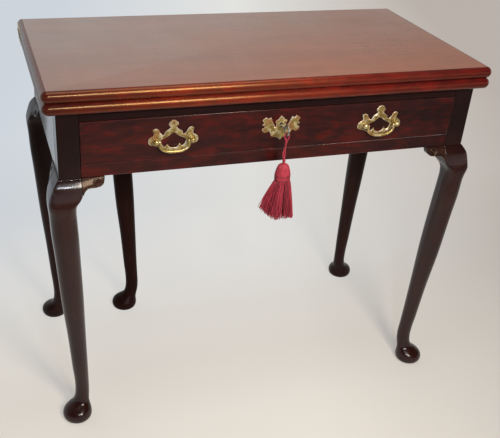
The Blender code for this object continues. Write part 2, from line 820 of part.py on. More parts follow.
def corner_leg(name, side_x, side_y, post_y, lean):
    """A leg at a corner of the frame, its knee and toe turned out along the diagonal."""
    bm = bmesh.new()
    post_x = HALF_FRAME - POST_HALF
    stations = leg_stations()
    stations.append((FRAME_TOP, *stations[-1][1:]))
    rings = []
    for z, high, low, round_out, round_side, squeeze in stations:
        half = (high - low) / 2
        radii = [round_out * half] + [round_side * half] * 3
        ring = []
        for u, v in section(low, high, low, high, radii):
            middle, across = (u + v) / 2, squeeze * (u - v) / 2
            x = post_x - lean * lean_at(z) + middle + across
            ring.append((side_x * x, post_y + side_y * (middle - across), z))
        rings.append(ring)
    loft(bm, rings)
    return finish_object(name, bm, "mahogany_dark")


def gate_leg():
    """The fifth leg. Its knee and toe turn to the left, away from the knuckle."""
    bm = bmesh.new()
    stations = leg_stations()
    stations.append((GATE_TOP, *stations[-1][1:]))
    rings = []
    for z, high, low, _, round_side, squeeze in stations:
        half = (high - low) / 2
        middle = (high + low) / math.sqrt(2)
        across = half if z < FOOT_RADIUS else min(half * squeeze, POST_HALF)
        radius = min(round_side * half, across)
        ring = section(middle - half, middle + half, -across, across, [radius] * 4)
        rings.append([(GATE_POST_X - u, GATE_POST_Y + v, z) for u, v in ring])
    loft(bm, rings)
    return finish_object("gate_leg", bm, "mahogany_dark", gate_origin())


def gate_origin():
    """Where the gate's knuckle axis meets the underside of the rails."""
    return (KNUCKLE_X, KNUCKLE_Y, RAIL_BOTTOM)


def ear(name, side_x, side_y, along_side):
    """A knee bracket. It lies against the knee's inner face and under the rail, and its
    face swells like the knee beside it and flattens towards its tip."""
    bm = bmesh.new()
    top = RAIL_BOTTOM - GAP
    columns = []
    face_steps = 6
    for distance_share, drop_share in EAR_OUTLINE_shares:
        distance = GAP + distance_share * EAR_LENGTH
        drop = drop_share * EAR_DROP
        fade = 1.0 - EAR_FADE_share * distance_share
        column = []
        for step in range(face_steps + 1):
            z = top - drop * step / face_steps
            swell = (knee_reach_at(z) - POST_HALF) * fade
            column.append((distance, swell, z))
        column.append((distance, -EAR_DEPTH, top - drop))
        column.append((distance, -EAR_DEPTH, top))
        columns.append(column)
    if along_side:
        def place(a, b, z):
            y = side_y * (abs_post_y(side_y) - POST_HALF - a)
            return (side_x * (HALF_FRAME + b), y, z)
    else:
        def place(a, b, z):
            return (side_x * (POST_INNER_X - a), side_y * (abs_frame_y(side_y) + b), z)
    loft(bm, [[place(a, b, z) for a, b, z in column] for column in columns])
    return finish_object(name, bm, "mahogany_dark")


def abs_post_y(side_y):
    """Distance of a post's middle from the origin, towards the front or the back."""
    return -FRONT_POST_Y if side_y < 0 else REAR_POST_Y


def abs_frame_y(side_y):
    """Distance of the frame's front or back face from the origin."""
    return -FRAME_FRONT if side_y < 0 else FRAME_BACK


def add_tenon(rail, post, low, high):
    """Join a tenon to a rail and cut its mortise in the post."""
    cut(rail, box_tool((low, high)), "UNION")
    room = Vector((GAP, GAP, GAP))
    cut(post, box_tool((Vector(low) - room, Vector(high) + room)))


def build_legs():
    """Four corner legs with their brackets."""
    legs = {}
    for side_x, hand, front_lean, rear_lean in (
        (-1, "left", LEAN_FRONT_LEFT, LEAN_REAR_LEFT),
        (1, "right", LEAN_FRONT_RIGHT, LEAN_REAR_RIGHT),
    ):
        legs["front", side_x] = corner_leg(
            f"leg_front_{hand}", side_x, -1, FRONT_POST_Y, front_lean)
        legs["rear", side_x] = corner_leg(f"leg_rear_{hand}", side_x, 1, REAR_POST_Y, rear_lean)
        ear(f"ear_front_{hand}_front", side_x, -1, False)
        ear(f"ear_front_{hand}_side", side_x, -1, True)
        ear(f"ear_rear_{hand}_side", side_x, 1, True)
    return legs


# Frame rails

def build_side_rails(legs):
    """The two side rails, tenoned into the posts."""
    rails = {}
    start = FRONT_POST_Y + POST_HALF + GAP
    end = REAR_POST_Y - POST_HALF - GAP
    for side_x, hand in ((-1, "left"), (1, "right")):
        xs = sorted((side_x * SIDE_RAIL_INNER_X, side_x * HALF_FRAME))
        rail = box_object(
            f"side_rail_{hand}", (xs[0], start, RAIL_BOTTOM), (xs[1], end, FRAME_TOP),
            "mahogany_dark", POST_ARRIS / 2,
        )
        middle = side_x * (HALF_FRAME - RAIL_THICKNESS / 2)
        low_z = RAIL_BOTTOM + TENON_SHOULDER
        high_z = FRAME_TOP - TENON_SHOULDER
        for place, near, far in (
            ("front", start - TENON_LENGTH, start + OVERRUN),
            ("rear", end - OVERRUN, end + TENON_LENGTH),
        ):
            low = (middle - TENON_THICKNESS / 2, near, low_z)
            high = (middle + TENON_THICKNESS / 2, far, high_z)
            add_tenon(rail, legs[place, side_x], low, high)
        rails[side_x] = rail
    return rails


def build_front_rails(legs):
    """The rails over and under the drawer."""
    half = POST_INNER_X - GAP
    back = FRAME_FRONT + FRONT_RAIL_DEPTH
    spans = {
        "front_rail_top": (OPENING_TOP, FRAME_TOP),
        "front_rail_bottom": (RAIL_BOTTOM, OPENING_BOTTOM),
    }
    rails = {}
    for name, (low_z, high_z) in spans.items():
        rail = box_object(
            name, (-half, FRAME_FRONT, low_z), (half, back, high_z), "mahogany_dark",
            POST_ARRIS / 2,
        )
        middle_z = (low_z + high_z) / 2
        for side_x in (-1, 1):
            xs = sorted((side_x * (half - OVERRUN), side_x * (half + TENON_LENGTH / 2)))
            y = FRONT_POST_Y
            low = (xs[0], y - TENON_THICKNESS / 2, middle_z - RAIL_TENON_HEIGHT / 2)
            high = (xs[1], y + TENON_THICKNESS / 2, middle_z + RAIL_TENON_HEIGHT / 2)
            add_tenon(rail, legs["front", side_x], low, high)
        rails[name] = rail
    return rails


def build_back_rail():
    """The inner back rail, between the side rails."""
    half = SIDE_RAIL_INNER_X - GAP
    return box_object(
        "back_rail", (-half, BACK_RAIL_FRONT, RAIL_BOTTOM), (half, BACK_RAIL_REAR, FRAME_TOP),
        "oak", POST_ARRIS / 2,
    )


# The gate and its knuckle joint

def fly_rail_solid(name, reach_x, finish, origin):
    """A fly rail that ends in a half-round barrel about the knuckle axis."""
    side = 1 if reach_x > KNUCKLE_X else -1
    outline = [(reach_x, -KNUCKLE_RADIUS), (reach_x, KNUCKLE_RADIUS)]
    steps = ROUND_SIDES // 2
    for step in range(steps + 1):
        angle = math.pi * (0.5 + step / steps)
        x = KNUCKLE_X + side * KNUCKLE_RADIUS * math.cos(angle)
        outline.append((x, KNUCKLE_RADIUS * math.sin(angle)))
    bm = bmesh.new()
    prism(bm, outline, RAIL_BOTTOM, GATE_TOP, lambda x, y, z: (x, KNUCKLE_Y + y, z))
    return finish_object(name, bm, finish, origin)


def knuckle_slot_tool(own, side):
    """Clears the other rail's fingers. own is 0 for the rail with the end fingers."""
    height = (GATE_TOP - RAIL_BOTTOM) / KNUCKLE_FINGERS
    reach = KNUCKLE_RADIUS + KNUCKLE_CLEARANCE
    bm = bmesh.new()
    for finger in range(KNUCKLE_FINGERS):
        if finger % 2 == own:
            continue
        below = OVERRUN if finger == 0 else GAP / 2
        above = OVERRUN if finger == KNUCKLE_FINGERS - 1 else GAP / 2
        low_z = RAIL_BOTTOM + finger * height - below
        high_z = RAIL_BOTTOM + (finger + 1) * height + above
        xs = sorted((KNUCKLE_X - side * 2 * KNUCKLE_RADIUS, KNUCKLE_X + side * reach))
        reach_y = KNUCKLE_RADIUS + OVERRUN
        add_box(bm, (xs[0], KNUCKLE_Y - reach_y, low_z), (xs[1], KNUCKLE_Y + reach_y, high_z))
    return bm


def knuckle_hole_tool():
    """The pin's hole down through every finger."""
    bm = bmesh.new()
    start = (KNUCKLE_X, KNUCKLE_Y, RAIL_BOTTOM - OVERRUN)
    end = (KNUCKLE_X, KNUCKLE_Y, GATE_TOP + OVERRUN)
    rod(bm, KNUCKLE_PIN_RADIUS + GAP, start, end, SCREW_SIDES)
    return bm


def build_gate():
    """The swinging leg and rail, the fixed half of the rail, and what carries them."""
    leg = gate_leg()
    post_face = GATE_POST_X + POST_HALF + GAP
    swing = fly_rail_solid("gate_rail", post_face, "mahogany_dark", gate_origin())
    fixed = fly_rail_solid("fly_rail_fixed", POST_INNER_X - GAP, "mahogany_dark", gate_origin())
    cut(swing, knuckle_slot_tool(1, -1))
    cut(fixed, knuckle_slot_tool(0, 1))
    cut(swing, knuckle_hole_tool())
    cut(fixed, knuckle_hole_tool())
    low = (post_face - TENON_LENGTH, KNUCKLE_Y - TENON_THICKNESS / 2, RAIL_BOTTOM + TENON_SHOULDER)
    high = (post_face + OVERRUN, KNUCKLE_Y + TENON_THICKNESS / 2, GATE_TOP - TENON_SHOULDER)
    add_tenon(swing, leg, low, high)
    pin = bmesh.new()
    start = (KNUCKLE_X, KNUCKLE_Y, RAIL_BOTTOM)
    rod(pin, KNUCKLE_PIN_RADIUS, start, (KNUCKLE_X, KNUCKLE_Y, GATE_TOP), SCREW_SIDES)
    finish_object("knuckle_pin", pin, "iron")
    middle_z = (RAIL_BOTTOM + FRAME_TOP) / 2
    box_object(
        "fly_rail_spacer",
        (KNUCKLE_X + SPACER_SETBACK, BACK_RAIL_REAR + GAP, middle_z - SPACER_HEIGHT / 2),
        (POST_INNER_X - SPACER_SETBACK, FLY_FRONT - GAP, middle_z + SPACER_HEIGHT / 2),
        "oak", POST_ARRIS / 2,
    )


# Drawer bearers

def build_bearers():
    """A rebated runner on each side rail, which also guides the drawer, and a kicker."""
    front = FRAME_FRONT + FRONT_RAIL_DEPTH + GAP
    rear = BACK_RAIL_FRONT - GAP
    outer = SIDE_RAIL_INNER_X - GAP
    inner = outer - RUNNER_WIDTH
    top = OPENING_BOTTOM + GUIDE_HEIGHT
    bottom = OPENING_BOTTOM - RUNNER_HEIGHT
    outline = [
        (outer, bottom), (outer, top), (POST_INNER_X, top), (POST_INNER_X, OPENING_BOTTOM),
        (inner, OPENING_BOTTOM), (inner, bottom),
    ]
    for side_x, hand in ((-1, "left"), (1, "right")):
        bm = bmesh.new()
        prism(bm, outline, front, rear, lambda x, z, y: (side_x * x, y, z))
        finish_object(f"drawer_runner_{hand}", bm, "oak")
        xs = sorted((side_x * inner, side_x * outer))
        box_object(
            f"drawer_kicker_{hand}", (xs[0], front, OPENING_TOP), (xs[1], rear, FRAME_TOP),
            "oak",
        )


# Drawer

def drawer_front():
    """The drawer front, stepped back round its edge for the cock beads."""
    step = DRAWER_FACE + BEAD_DEPTH + GAP
    narrow = BEAD_WIDTH + GAP
    rings = []
    for y, inset in (
        (DRAWER_FRONT_BACK, 0.0), (step, 0.0), (step, narrow), (DRAWER_FACE, narrow),
    ):
        half = DRAWER_HALF - inset
        low, high = DRAWER_BOTTOM + inset, DRAWER_TOP - inset
        rings.append([(-half, y, low), (half, y, low), (half, y, high), (-half, y, high)])
    bm = bmesh.new()
    loft(bm, rings)
    return finish_object("drawer_front", bm, "mahogany_drawer")


def cock_bead():
    """The strip mitred round the drawer front, a little proud of it, with an eased nose."""
    ease = BEAD_WIDTH * BEAD_EASE_share
    back = DRAWER_FACE + BEAD_DEPTH
    front = DRAWER_FACE - BEAD_PROUD
    profile = [
        (0.0, back), (0.0, front + ease), (ease, front), (BEAD_WIDTH - ease, front),
        (BEAD_WIDTH, front + ease), (BEAD_WIDTH, back),
    ]
    bm = bmesh.new()
    corners = []
    for side_x, side_z in ((-1, -1), (1, -1), (1, 1), (-1, 1)):
        edge_z = DRAWER_BOTTOM if side_z < 0 else DRAWER_TOP
        corners.append([
            bm.verts.new((side_x * (DRAWER_HALF - inset), y, edge_z - side_z * inset))
            for inset, y in profile
        ])
    for i, corner in enumerate(corners):
        ahead = corners[(i + 1) % len(corners)]
        for j in range(len(profile)):
            k = (j + 1) % len(profile)
            bm.faces.new((corner[j], corner[k], ahead[k], ahead[j]))
    return finish_object("drawer_cock_bead", bm, "mahogany_drawer")


def tail_outline(low, high, rear):
    """A drawer side as (y, z) points: lapped dovetails in front and a square rear end."""
    tip = DRAWER_FRONT_BACK - TAIL_LENGTH
    root = DRAWER_FRONT_BACK + GAP
    pitch = (high - low) / TAIL_COUNT
    outline = [(rear, low), (root, low)]
    for index in range(TAIL_COUNT):
        middle = low + pitch * (index + 0.5)
        narrow = TAIL_WIDTH_share * pitch / 2
        wide = narrow + TAIL_FLARE
        outline += [
            (root, middle - narrow), (tip, middle - wide), (tip, middle + wide),
            (root, middle + narrow),
        ]
    outline += [(root, high), (rear, high)]
    return outline


def tail_socket_tool(side_x, low, high):
    """The dovetail sockets in one end of the drawer front."""
    bm = bmesh.new()
    pitch = (high - low) / TAIL_COUNT
    tip = DRAWER_FRONT_BACK - TAIL_LENGTH - GAP
    root = DRAWER_FRONT_BACK + OVERRUN
    narrow = TAIL_WIDTH_share * pitch / 2 + GAP
    wide = narrow + TAIL_FLARE
    lean = TAIL_FLARE / TAIL_LENGTH * OVERRUN
    inner = DRAWER_SIDE_INNER - GAP
    for index in range(TAIL_COUNT):
        middle = low + pitch * (index + 0.5)
        outline = [
            (root, middle - narrow + lean), (tip, middle - wide), (tip, middle + wide),
            (root, middle + narrow - lean),
        ]
        prism(
            bm, outline, inner, DRAWER_HALF + OVERRUN,
            lambda y, z, x: (side_x * x, y, z),
        )
    return bm


def groove_tool():
    """The groove that carries the drawer's bottom panel, in the sides and the front."""
    reach = DRAWER_SIDE_INNER + GROOVE_DEPTH + GAP
    front = DRAWER_FRONT_BACK - GROOVE_DEPTH - GAP
    low = (-reach, front, PANEL_BOTTOM - GAP)
    high = (reach, DRAWER_REAR + OVERRUN, PANEL_TOP + GAP)
    return box_tool((low, high))


def build_drawer(front_rail_top):
    """The drawer box with its lock, brasses and key."""
    front = drawer_front()
    cock_bead()
    side_low = DRAWER_BOTTOM
    side_high = DRAWER_TOP - DRAWER_SIDE_DROP
    for side_x, hand in ((-1, "left"), (1, "right")):
        bm = bmesh.new()
        outline = tail_outline(side_low, side_high, DRAWER_REAR)
        prism(
            bm, outline, DRAWER_SIDE_INNER, DRAWER_HALF,
            lambda y, z, x: (side_x * x, y, z),
        )
        side = finish_object(f"drawer_side_{hand}", bm, "oak")
        cut(side, groove_tool())
        cut(front, tail_socket_tool(side_x, side_low, side_high))
    cut(front, groove_tool())
    reach = DRAWER_SIDE_INNER - GAP
    box_object(
        "drawer_back",
        (-reach, DRAWER_REAR - DRAWER_BACK_THICKNESS, PANEL_TOP + GAP),
        (reach, DRAWER_REAR, DRAWER_TOP - DRAWER_BACK_DROP), "oak",
    )
    reach = DRAWER_SIDE_INNER + GROOVE_DEPTH
    box_object(
        "drawer_bottom", (-reach, DRAWER_FRONT_BACK - GROOVE_DEPTH, PANEL_BOTTOM),
        (reach, DRAWER_REAR, PANEL_TOP), "oak",
    )
    build_lock(front, front_rail_top)
    build_escutcheon(front)
    for side_x, hand in ((-1, "left"), (1, "right")):
        build_handle(front, hand, FITTINGS_X + side_x * HANDLE_X)


# Lock and key

def lock_bounds(grow=0.0):
    """Low and high corner of the lock case, let into the back of the drawer front."""
    low = (KEY_X - LOCK_WIDTH / 2 - grow, DRAWER_FRONT_BACK - LOCK_THICKNESS - grow,
           KEYHOLE_HEIGHT - LOCK_DROP - grow)
    high = (KEY_X + LOCK_WIDTH / 2 + grow, DRAWER_FRONT_BACK, DRAWER_TOP - BEAD_WIDTH - 2 * GAP)
    return low, high


def key_room_tool():
    """Round room inside the lock for the turning bit, and the hole for the key's shaft."""
    bm = bmesh.new()
    start = BOLT_FRONT - GAP - KEY_BIT_LENGTH / 2
    rod(
        bm, KEY_CAVITY_RADIUS, (KEY_X, start, KEYHOLE_HEIGHT),
        (KEY_X, start + KEY_CAVITY_DEPTH, KEYHOLE_HEIGHT),
    )
    return bm


def keyhole_tool():
    """The key's hole through the drawer front and the face of the lock."""
    bm = bmesh.new()
    start = (KEY_X, DRAWER_FACE - OVERRUN, KEYHOLE_HEIGHT)
    rod(bm, KEYHOLE_RADIUS, start, (KEY_X, BOLT_FRONT, KEYHOLE_HEIGHT))
    return bm


def bolt_channel(grow, low_z, high_z):
    """Low and high corner of the bolt, or of its channel."""
    low = (KEY_X - BOLT_WIDTH / 2 - grow, BOLT_FRONT - grow, low_z)
    high = (KEY_X + BOLT_WIDTH / 2 + grow, BOLT_FRONT + BOLT_THICKNESS + grow, high_z)
    return low, high


def build_lock(front, front_rail_top):
    """The lock in the drawer front, its bolt, and the key with the bow outside."""
    low, high = lock_bounds()
    case = box_object("lock_case", low, high, "iron")
    low, high = lock_bounds(GAP)
    cut(front, box_tool((low, (high[0], high[1] + OVERRUN, high[2] + GAP))))
    cut(case, key_room_tool())
    cut(case, keyhole_tool())
    cut(front, keyhole_tool())
    channel = bolt_channel(GAP, KEYHOLE_HEIGHT, DRAWER_TOP + OVERRUN)
    cut(case, box_tool(channel))
    cut(front, box_tool(channel))
    mortise_top = DRAWER_TOP + BOLT_THROW + MORTISE_SPARE_DEPTH
    cut(front_rail_top, box_tool(bolt_channel(MORTISE_ROOM, KEYHOLE_HEIGHT, mortise_top)))
    low, high = bolt_channel(0.0, BOLT_BOTTOM, DRAWER_TOP)
    box_object("lock_bolt", low, high, "iron")
    build_key()


def build_key():
    """A steel key: shaft along Y, a bit that hangs down, and a ring bow outside."""
    bm = bmesh.new()
    shaft_end = BOLT_FRONT + KEY_BIT_LENGTH + KEY_SHAFT_END
    bow_edge = KEY_BOW_Y + KEY_BOW_RADIUS
    rod(
        bm, KEY_SHAFT_RADIUS, (KEY_X, shaft_end, KEYHOLE_HEIGHT),
        (KEY_X, bow_edge, KEYHOLE_HEIGHT),
    )
    key = finish_object("key", bm, "iron", (KEY_X, DRAWER_FACE, KEYHOLE_HEIGHT))
    bit = box_tool((
        (KEY_X - KEY_BIT_WIDTH / 2, BOLT_FRONT, KEYHOLE_HEIGHT - KEY_BIT_REACH),
        (KEY_X + KEY_BIT_WIDTH / 2, BOLT_FRONT + KEY_BIT_LENGTH, KEYHOLE_HEIGHT),
    ))
    cut(key, bit, "UNION")
    cut(key, key_bow(), "UNION")
    return key


def key_bow():
    """The ring of the key, in the upright plane of its shaft."""
    bm = bmesh.new()
    around, across = 20, 10
    loops = []
    for i in range(around):
        turn = math.tau * i / around
        loop = []
        for j in range(across):
            tilt = math.tau * j / across
            reach = KEY_BOW_RADIUS + KEY_BOW_ROD_RADIUS * math.cos(tilt)
            x = KEY_X + KEY_BOW_ROD_RADIUS * math.sin(tilt)
            y = KEY_BOW_Y + reach * math.cos(turn)
            z = KEYHOLE_HEIGHT + reach * math.sin(turn)
            loop.append(bm.verts.new((x, y, z)))
        loops.append(loop)
    for i in range(around):
        ahead = loops[(i + 1) % around]
        for j in range(across):
            k = (j + 1) % across
            bm.faces.new((loops[i][j], loops[i][k], ahead[k], ahead[j]))
    return bm


# Brass plates and handles

def build_escutcheon(front):
    """The pierced plate round the keyhole, and its two pins."""
    outline = mirrored_outline(
        ESCUTCHEON_shares, ESCUTCHEON_HALF_WIDTH, ESCUTCHEON_HALF_HEIGHT, 2)
    bm = bmesh.new()
    holes = [circle(0.0, 0.0, KEYHOLE_RADIUS)]
    holes += [circle(side * ESCUTCHEON_PIN_X, 0.0, PIN_SHANK_RADIUS + GAP, 8) for side in (-1, 1)]
    back = DRAWER_FACE - GAP
    pierced_plate(bm, outline, holes, back, back - PLATE_THICKNESS, (KEY_X, KEYHOLE_HEIGHT))
    finish_object("escutcheon", bm, "brass")
    for side, hand in ((-1, "left"), (1, "right")):
        finish_object(f"escutcheon_pin_{hand}", plate_pin(side), "brass")
        cut(front, plate_pin(side, GAP))


def plate_pin(side, grow=0.0):
    """A round-headed pin beside the keyhole, or its hole."""
    bm = bmesh.new()
    seat = DRAWER_FACE - PLATE_THICKNESS - 2 * GAP
    start = Vector((KEY_X + side * ESCUTCHEON_PIN_X, seat, KEYHOLE_HEIGHT))
    if grow > 0:
        profile = [(PIN_SHANK_RADIUS + grow, 0.0), (PIN_SHANK_RADIUS + grow, PIN_LENGTH + grow)]
        turned(bm, profile, start, (0, 1, 0), PIN_SIDES)
        return bm
    profile = [
        (PIN_HEAD_RADIUS * RIVET_CROWN_share, 0.0),
        (PIN_HEAD_RADIUS, PIN_HEAD_HEIGHT * RIVET_CROWN_share),
        (PIN_HEAD_RADIUS, PIN_HEAD_HEIGHT),
        (PIN_SHANK_RADIUS, PIN_HEAD_HEIGHT),
        (PIN_SHANK_RADIUS, PIN_HEAD_HEIGHT + PIN_LENGTH),
    ]
    turned(bm, profile, start - Vector((0, PIN_HEAD_HEIGHT, 0)), (0, 1, 0), PIN_SIDES)
    return bm


def build_handle(front, hand, centre_x):
    """A pierced backplate, two posts with round bosses, and the bail that hangs on them."""
    bm = bmesh.new()
    outline = mirrored_outline(BACKPLATE_shares, PLATE_HALF_WIDTH, PLATE_HALF_HEIGHT, 2)
    opening = mirrored_outline(BACKPLATE_OPENING_shares, PLATE_HALF_WIDTH, PLATE_HALF_HEIGHT, 2)
    half = BOSS_SPACING / 2
    holes = [opening]
    holes += [circle(side * half, 0.0, POST_SHANK_RADIUS + GAP, SCREW_SIDES) for side in (-1, 1)]
    back = DRAWER_FACE - GAP
    pierced_plate(bm, outline, holes, back, back - PLATE_THICKNESS, (centre_x, HANDLE_HEIGHT))
    finish_object(f"backplate_{hand}", bm, "brass")
    for side, end in ((-1, "left"), (1, "right")):
        x = centre_x + side * half
        post = boss_post(f"handle_post_{hand}_{end}", x)
        cut(post, bail_tip_tool(centre_x))
        handle_nut(f"handle_nut_{hand}_{end}", x)
        holes = bmesh.new()
        start = (x, DRAWER_FACE - OVERRUN, HANDLE_HEIGHT)
        end_point = (x, DRAWER_FRONT_BACK + OVERRUN, HANDLE_HEIGHT)
        rod(holes, POST_SHANK_RADIUS + GAP, start, end_point, SCREW_SIDES)
        cut(front, holes)
    bail(hand, centre_x)


def boss_post(name, x):
    """A post through the drawer front, ending outside in a ball on a short neck."""
    bm = bmesh.new()
    collar = BOSS_PROUD - PLATE_THICKNESS - 2 * GAP
    end = BOSS_PROUD + DRAWER_FRONT_THICKNESS + NUT_THICKNESS + 2 * GAP
    profile = [(radius * BOSS_RADIUS, behind * BOSS_RADIUS) for radius, behind in BOSS_shares]
    profile += [(profile[-1][0], collar), (POST_SHANK_RADIUS, collar), (POST_SHANK_RADIUS, end)]
    turned(bm, profile, (x, BOSS_Y, HANDLE_HEIGHT), (0, 1, 0), SCREW_SIDES)
    return finish_object(name, bm, "brass")


def bail_tip_tool(centre_x):
    """Blind holes in the inner sides of both bosses for the ends of the bail."""
    bm = bmesh.new()
    half = BOSS_SPACING / 2
    for side in (-1, 1):
        inner = (centre_x + side * (half - 2 * BOSS_RADIUS), BOSS_Y, HANDLE_HEIGHT)
        deep = half - BOSS_RADIUS + BAIL_TIP_DEPTH + 2 * GAP
        outer = (centre_x + side * deep, BOSS_Y, HANDLE_HEIGHT)
        rod(bm, BAIL_TIP_RADIUS + GAP, inner, outer, SCREW_SIDES)
    return bm


def bail(hand, centre_x):
    """The hanging loop of a handle, thickest in the middle, with its ends turned out."""
    half = BOSS_SPACING / 2
    face = half - BOSS_RADIUS - 2 * GAP
    path = []
    for a, b, size in BAIL_PATH_shares:
        path.append((a * half, b * BAIL_DROP, size * BAIL_ROD_RADIUS))
    bend = face - BAIL_TIP_RADIUS
    path.append((bend, 0.0, BAIL_TIP_RADIUS + GAP))
    path.append((face, 0.0, BAIL_TIP_RADIUS))
    path.append((face + BAIL_TIP_DEPTH, 0.0, BAIL_TIP_RADIUS))
    whole = [(-a, b, size) for a, b, size in reversed(path[1:])] + path
    bm = bmesh.new()
    rings = []
    for i, (a, b, size) in enumerate(whole):
        before = whole[max(i - 1, 0)]
        after = whole[min(i + 1, len(whole) - 1)]
        along = Vector((after[0] - before[0], 0.0, after[1] - before[1])).normalized()
        side = along.cross(Vector((0.0, 1.0, 0.0)))
        ring = []
        for j in range(8):
            angle = math.tau * j / 8
            offset = side * math.cos(angle) + Vector((0.0, 1.0, 0.0)) * math.sin(angle)
            ring.append(Vector((centre_x + a, BOSS_Y, HANDLE_HEIGHT + b)) + offset * size)
        rings.append(ring)
    loft(bm, rings)
    return finish_object(f"bail_{hand}", bm, "brass", (centre_x, BOSS_Y, HANDLE_HEIGHT))


def handle_nut(name, x):
    """A round nut on the end of a handle post, inside the drawer."""
    bm = bmesh.new()
    start = DRAWER_FRONT_BACK + GAP
    end = start + NUT_THICKNESS
    rod(bm, NUT_RADIUS, (x, start, HANDLE_HEIGHT), (x, end, HANDLE_HEIGHT), SCREW_SIDES)
    nut = finish_object(name, bm, "brass")
    hole = bmesh.new()
    low, high = (x, start - OVERRUN, HANDLE_HEIGHT), (x, end + OVERRUN, HANDLE_HEIGHT)
    rod(hole, POST_SHANK_RADIUS + GAP, low, high, SCREW_SIDES)
    cut(nut, hole)
    return nut


# Tassel

def build_tassel():
    """The cord from the key's bow, the bound head and the skirt of yarn."""
    origin = (KEY_X, TASSEL_Y, TASSEL_HANG_Z)
    bm = bmesh.new()
    profile = [
        (radius * TASSEL_HEAD_RADIUS, depth * TASSEL_HEAD_HEIGHT)
        for radius, depth in TASSEL_HEAD_shares
    ]
    turned(bm, profile, (KEY_X, TASSEL_Y, TASSEL_HEAD_TOP), (0, 0, -1))
    finish_object("tassel_head", bm, "silk", origin)
    bm = bmesh.new()
    top = TASSEL_HEAD_TOP - TASSEL_HEAD_HEIGHT - GAP
    rings = []
    for depth, left, right, thick in SKIRT_shares:
        middle = (left + right) / 2 * TASSEL_SKIRT_HALF_WIDTH
        half = (right - left) / 2 * TASSEL_SKIRT_HALF_WIDTH
        deep = thick * TASSEL_SKIRT_HALF_DEPTH
        ring = []
        for i in range(ROUND_SIDES):
            angle = math.tau * i / ROUND_SIDES
            ring.append((
                KEY_X + middle + half * math.cos(angle), TASSEL_Y + deep * math.sin(angle),
                top - depth * TASSEL_SKIRT_LENGTH,
            ))
        rings.append(ring)
    loft(bm, rings)
    finish_object("tassel_skirt", bm, "silk", origin)
    build_cord(origin)


def build_cord(origin):
    """The cord between the key's bow and the tassel's head. It narrows under the bow, where
    the real one is a loop, so that the bow stays clear of it as the key turns."""
    curve = bpy.data.curves.new("tassel_cord", "CURVE")
    curve.dimensions = "3D"
    curve.bevel_depth = CORD_DIAMETER / 2
    curve.bevel_resolution = 2
    curve.use_fill_caps = True
    spline = curve.splines.new("POLY")
    tip = [(depth * CORD_TIP_LENGTH, thick) for depth, thick in CORD_TIP_shares]
    count = 7
    rest = CORD_LENGTH - GAP - CORD_TIP_LENGTH
    steps = tip + [(CORD_TIP_LENGTH + rest * i / count, 1.0) for i in range(1, count + 1)]
    spline.points.add(len(steps) - 1)
    for point, (depth, thick) in zip(spline.points, steps):
        point.co = (0.0, 0.0, -depth, 1.0)
        point.radius = thick
    colour, roughness, metallic = FINISHES["silk"]
    curve.materials.append(make_material("tassel_cord_finish", colour, roughness, metallic))
    obj = bpy.data.objects.new("tassel_cord", curve)
    obj.location = origin
    bpy.context.collection.objects.link(obj)
    return obj


def main():
    clear_scene()
    build_top()
    legs = build_legs()
    build_side_rails(legs)
    front_rails = build_front_rails(legs)
    build_back_rail()
    build_gate()
    build_bearers()
    build_drawer(front_rails["front_rail_top"])
    build_tassel()


main()
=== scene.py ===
"""Looks of the fold-over tea table: fine surfaces, materials, camera, lights and floor."""

import math

import bmesh
import bpy
import numpy as np
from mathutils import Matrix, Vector
from mathutils.geometry import tessellate_polygon


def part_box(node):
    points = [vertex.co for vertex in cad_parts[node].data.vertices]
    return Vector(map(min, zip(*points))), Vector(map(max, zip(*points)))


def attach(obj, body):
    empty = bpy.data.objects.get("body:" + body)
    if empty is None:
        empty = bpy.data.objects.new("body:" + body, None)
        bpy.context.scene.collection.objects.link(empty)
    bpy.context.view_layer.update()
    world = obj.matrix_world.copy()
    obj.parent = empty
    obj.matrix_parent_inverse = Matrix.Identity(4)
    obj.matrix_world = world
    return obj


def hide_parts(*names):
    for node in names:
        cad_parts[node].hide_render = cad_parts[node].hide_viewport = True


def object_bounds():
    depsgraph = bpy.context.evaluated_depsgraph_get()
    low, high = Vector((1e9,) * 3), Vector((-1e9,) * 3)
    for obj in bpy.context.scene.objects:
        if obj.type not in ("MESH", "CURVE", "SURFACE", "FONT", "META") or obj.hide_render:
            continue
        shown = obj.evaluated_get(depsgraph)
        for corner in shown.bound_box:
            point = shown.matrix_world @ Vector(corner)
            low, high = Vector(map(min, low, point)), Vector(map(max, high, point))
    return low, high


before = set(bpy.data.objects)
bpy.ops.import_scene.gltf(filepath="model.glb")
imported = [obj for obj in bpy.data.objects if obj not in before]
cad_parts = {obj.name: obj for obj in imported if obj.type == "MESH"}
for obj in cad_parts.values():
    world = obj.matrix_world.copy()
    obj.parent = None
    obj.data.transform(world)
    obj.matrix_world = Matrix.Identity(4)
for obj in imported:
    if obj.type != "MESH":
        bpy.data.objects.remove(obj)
cad_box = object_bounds()

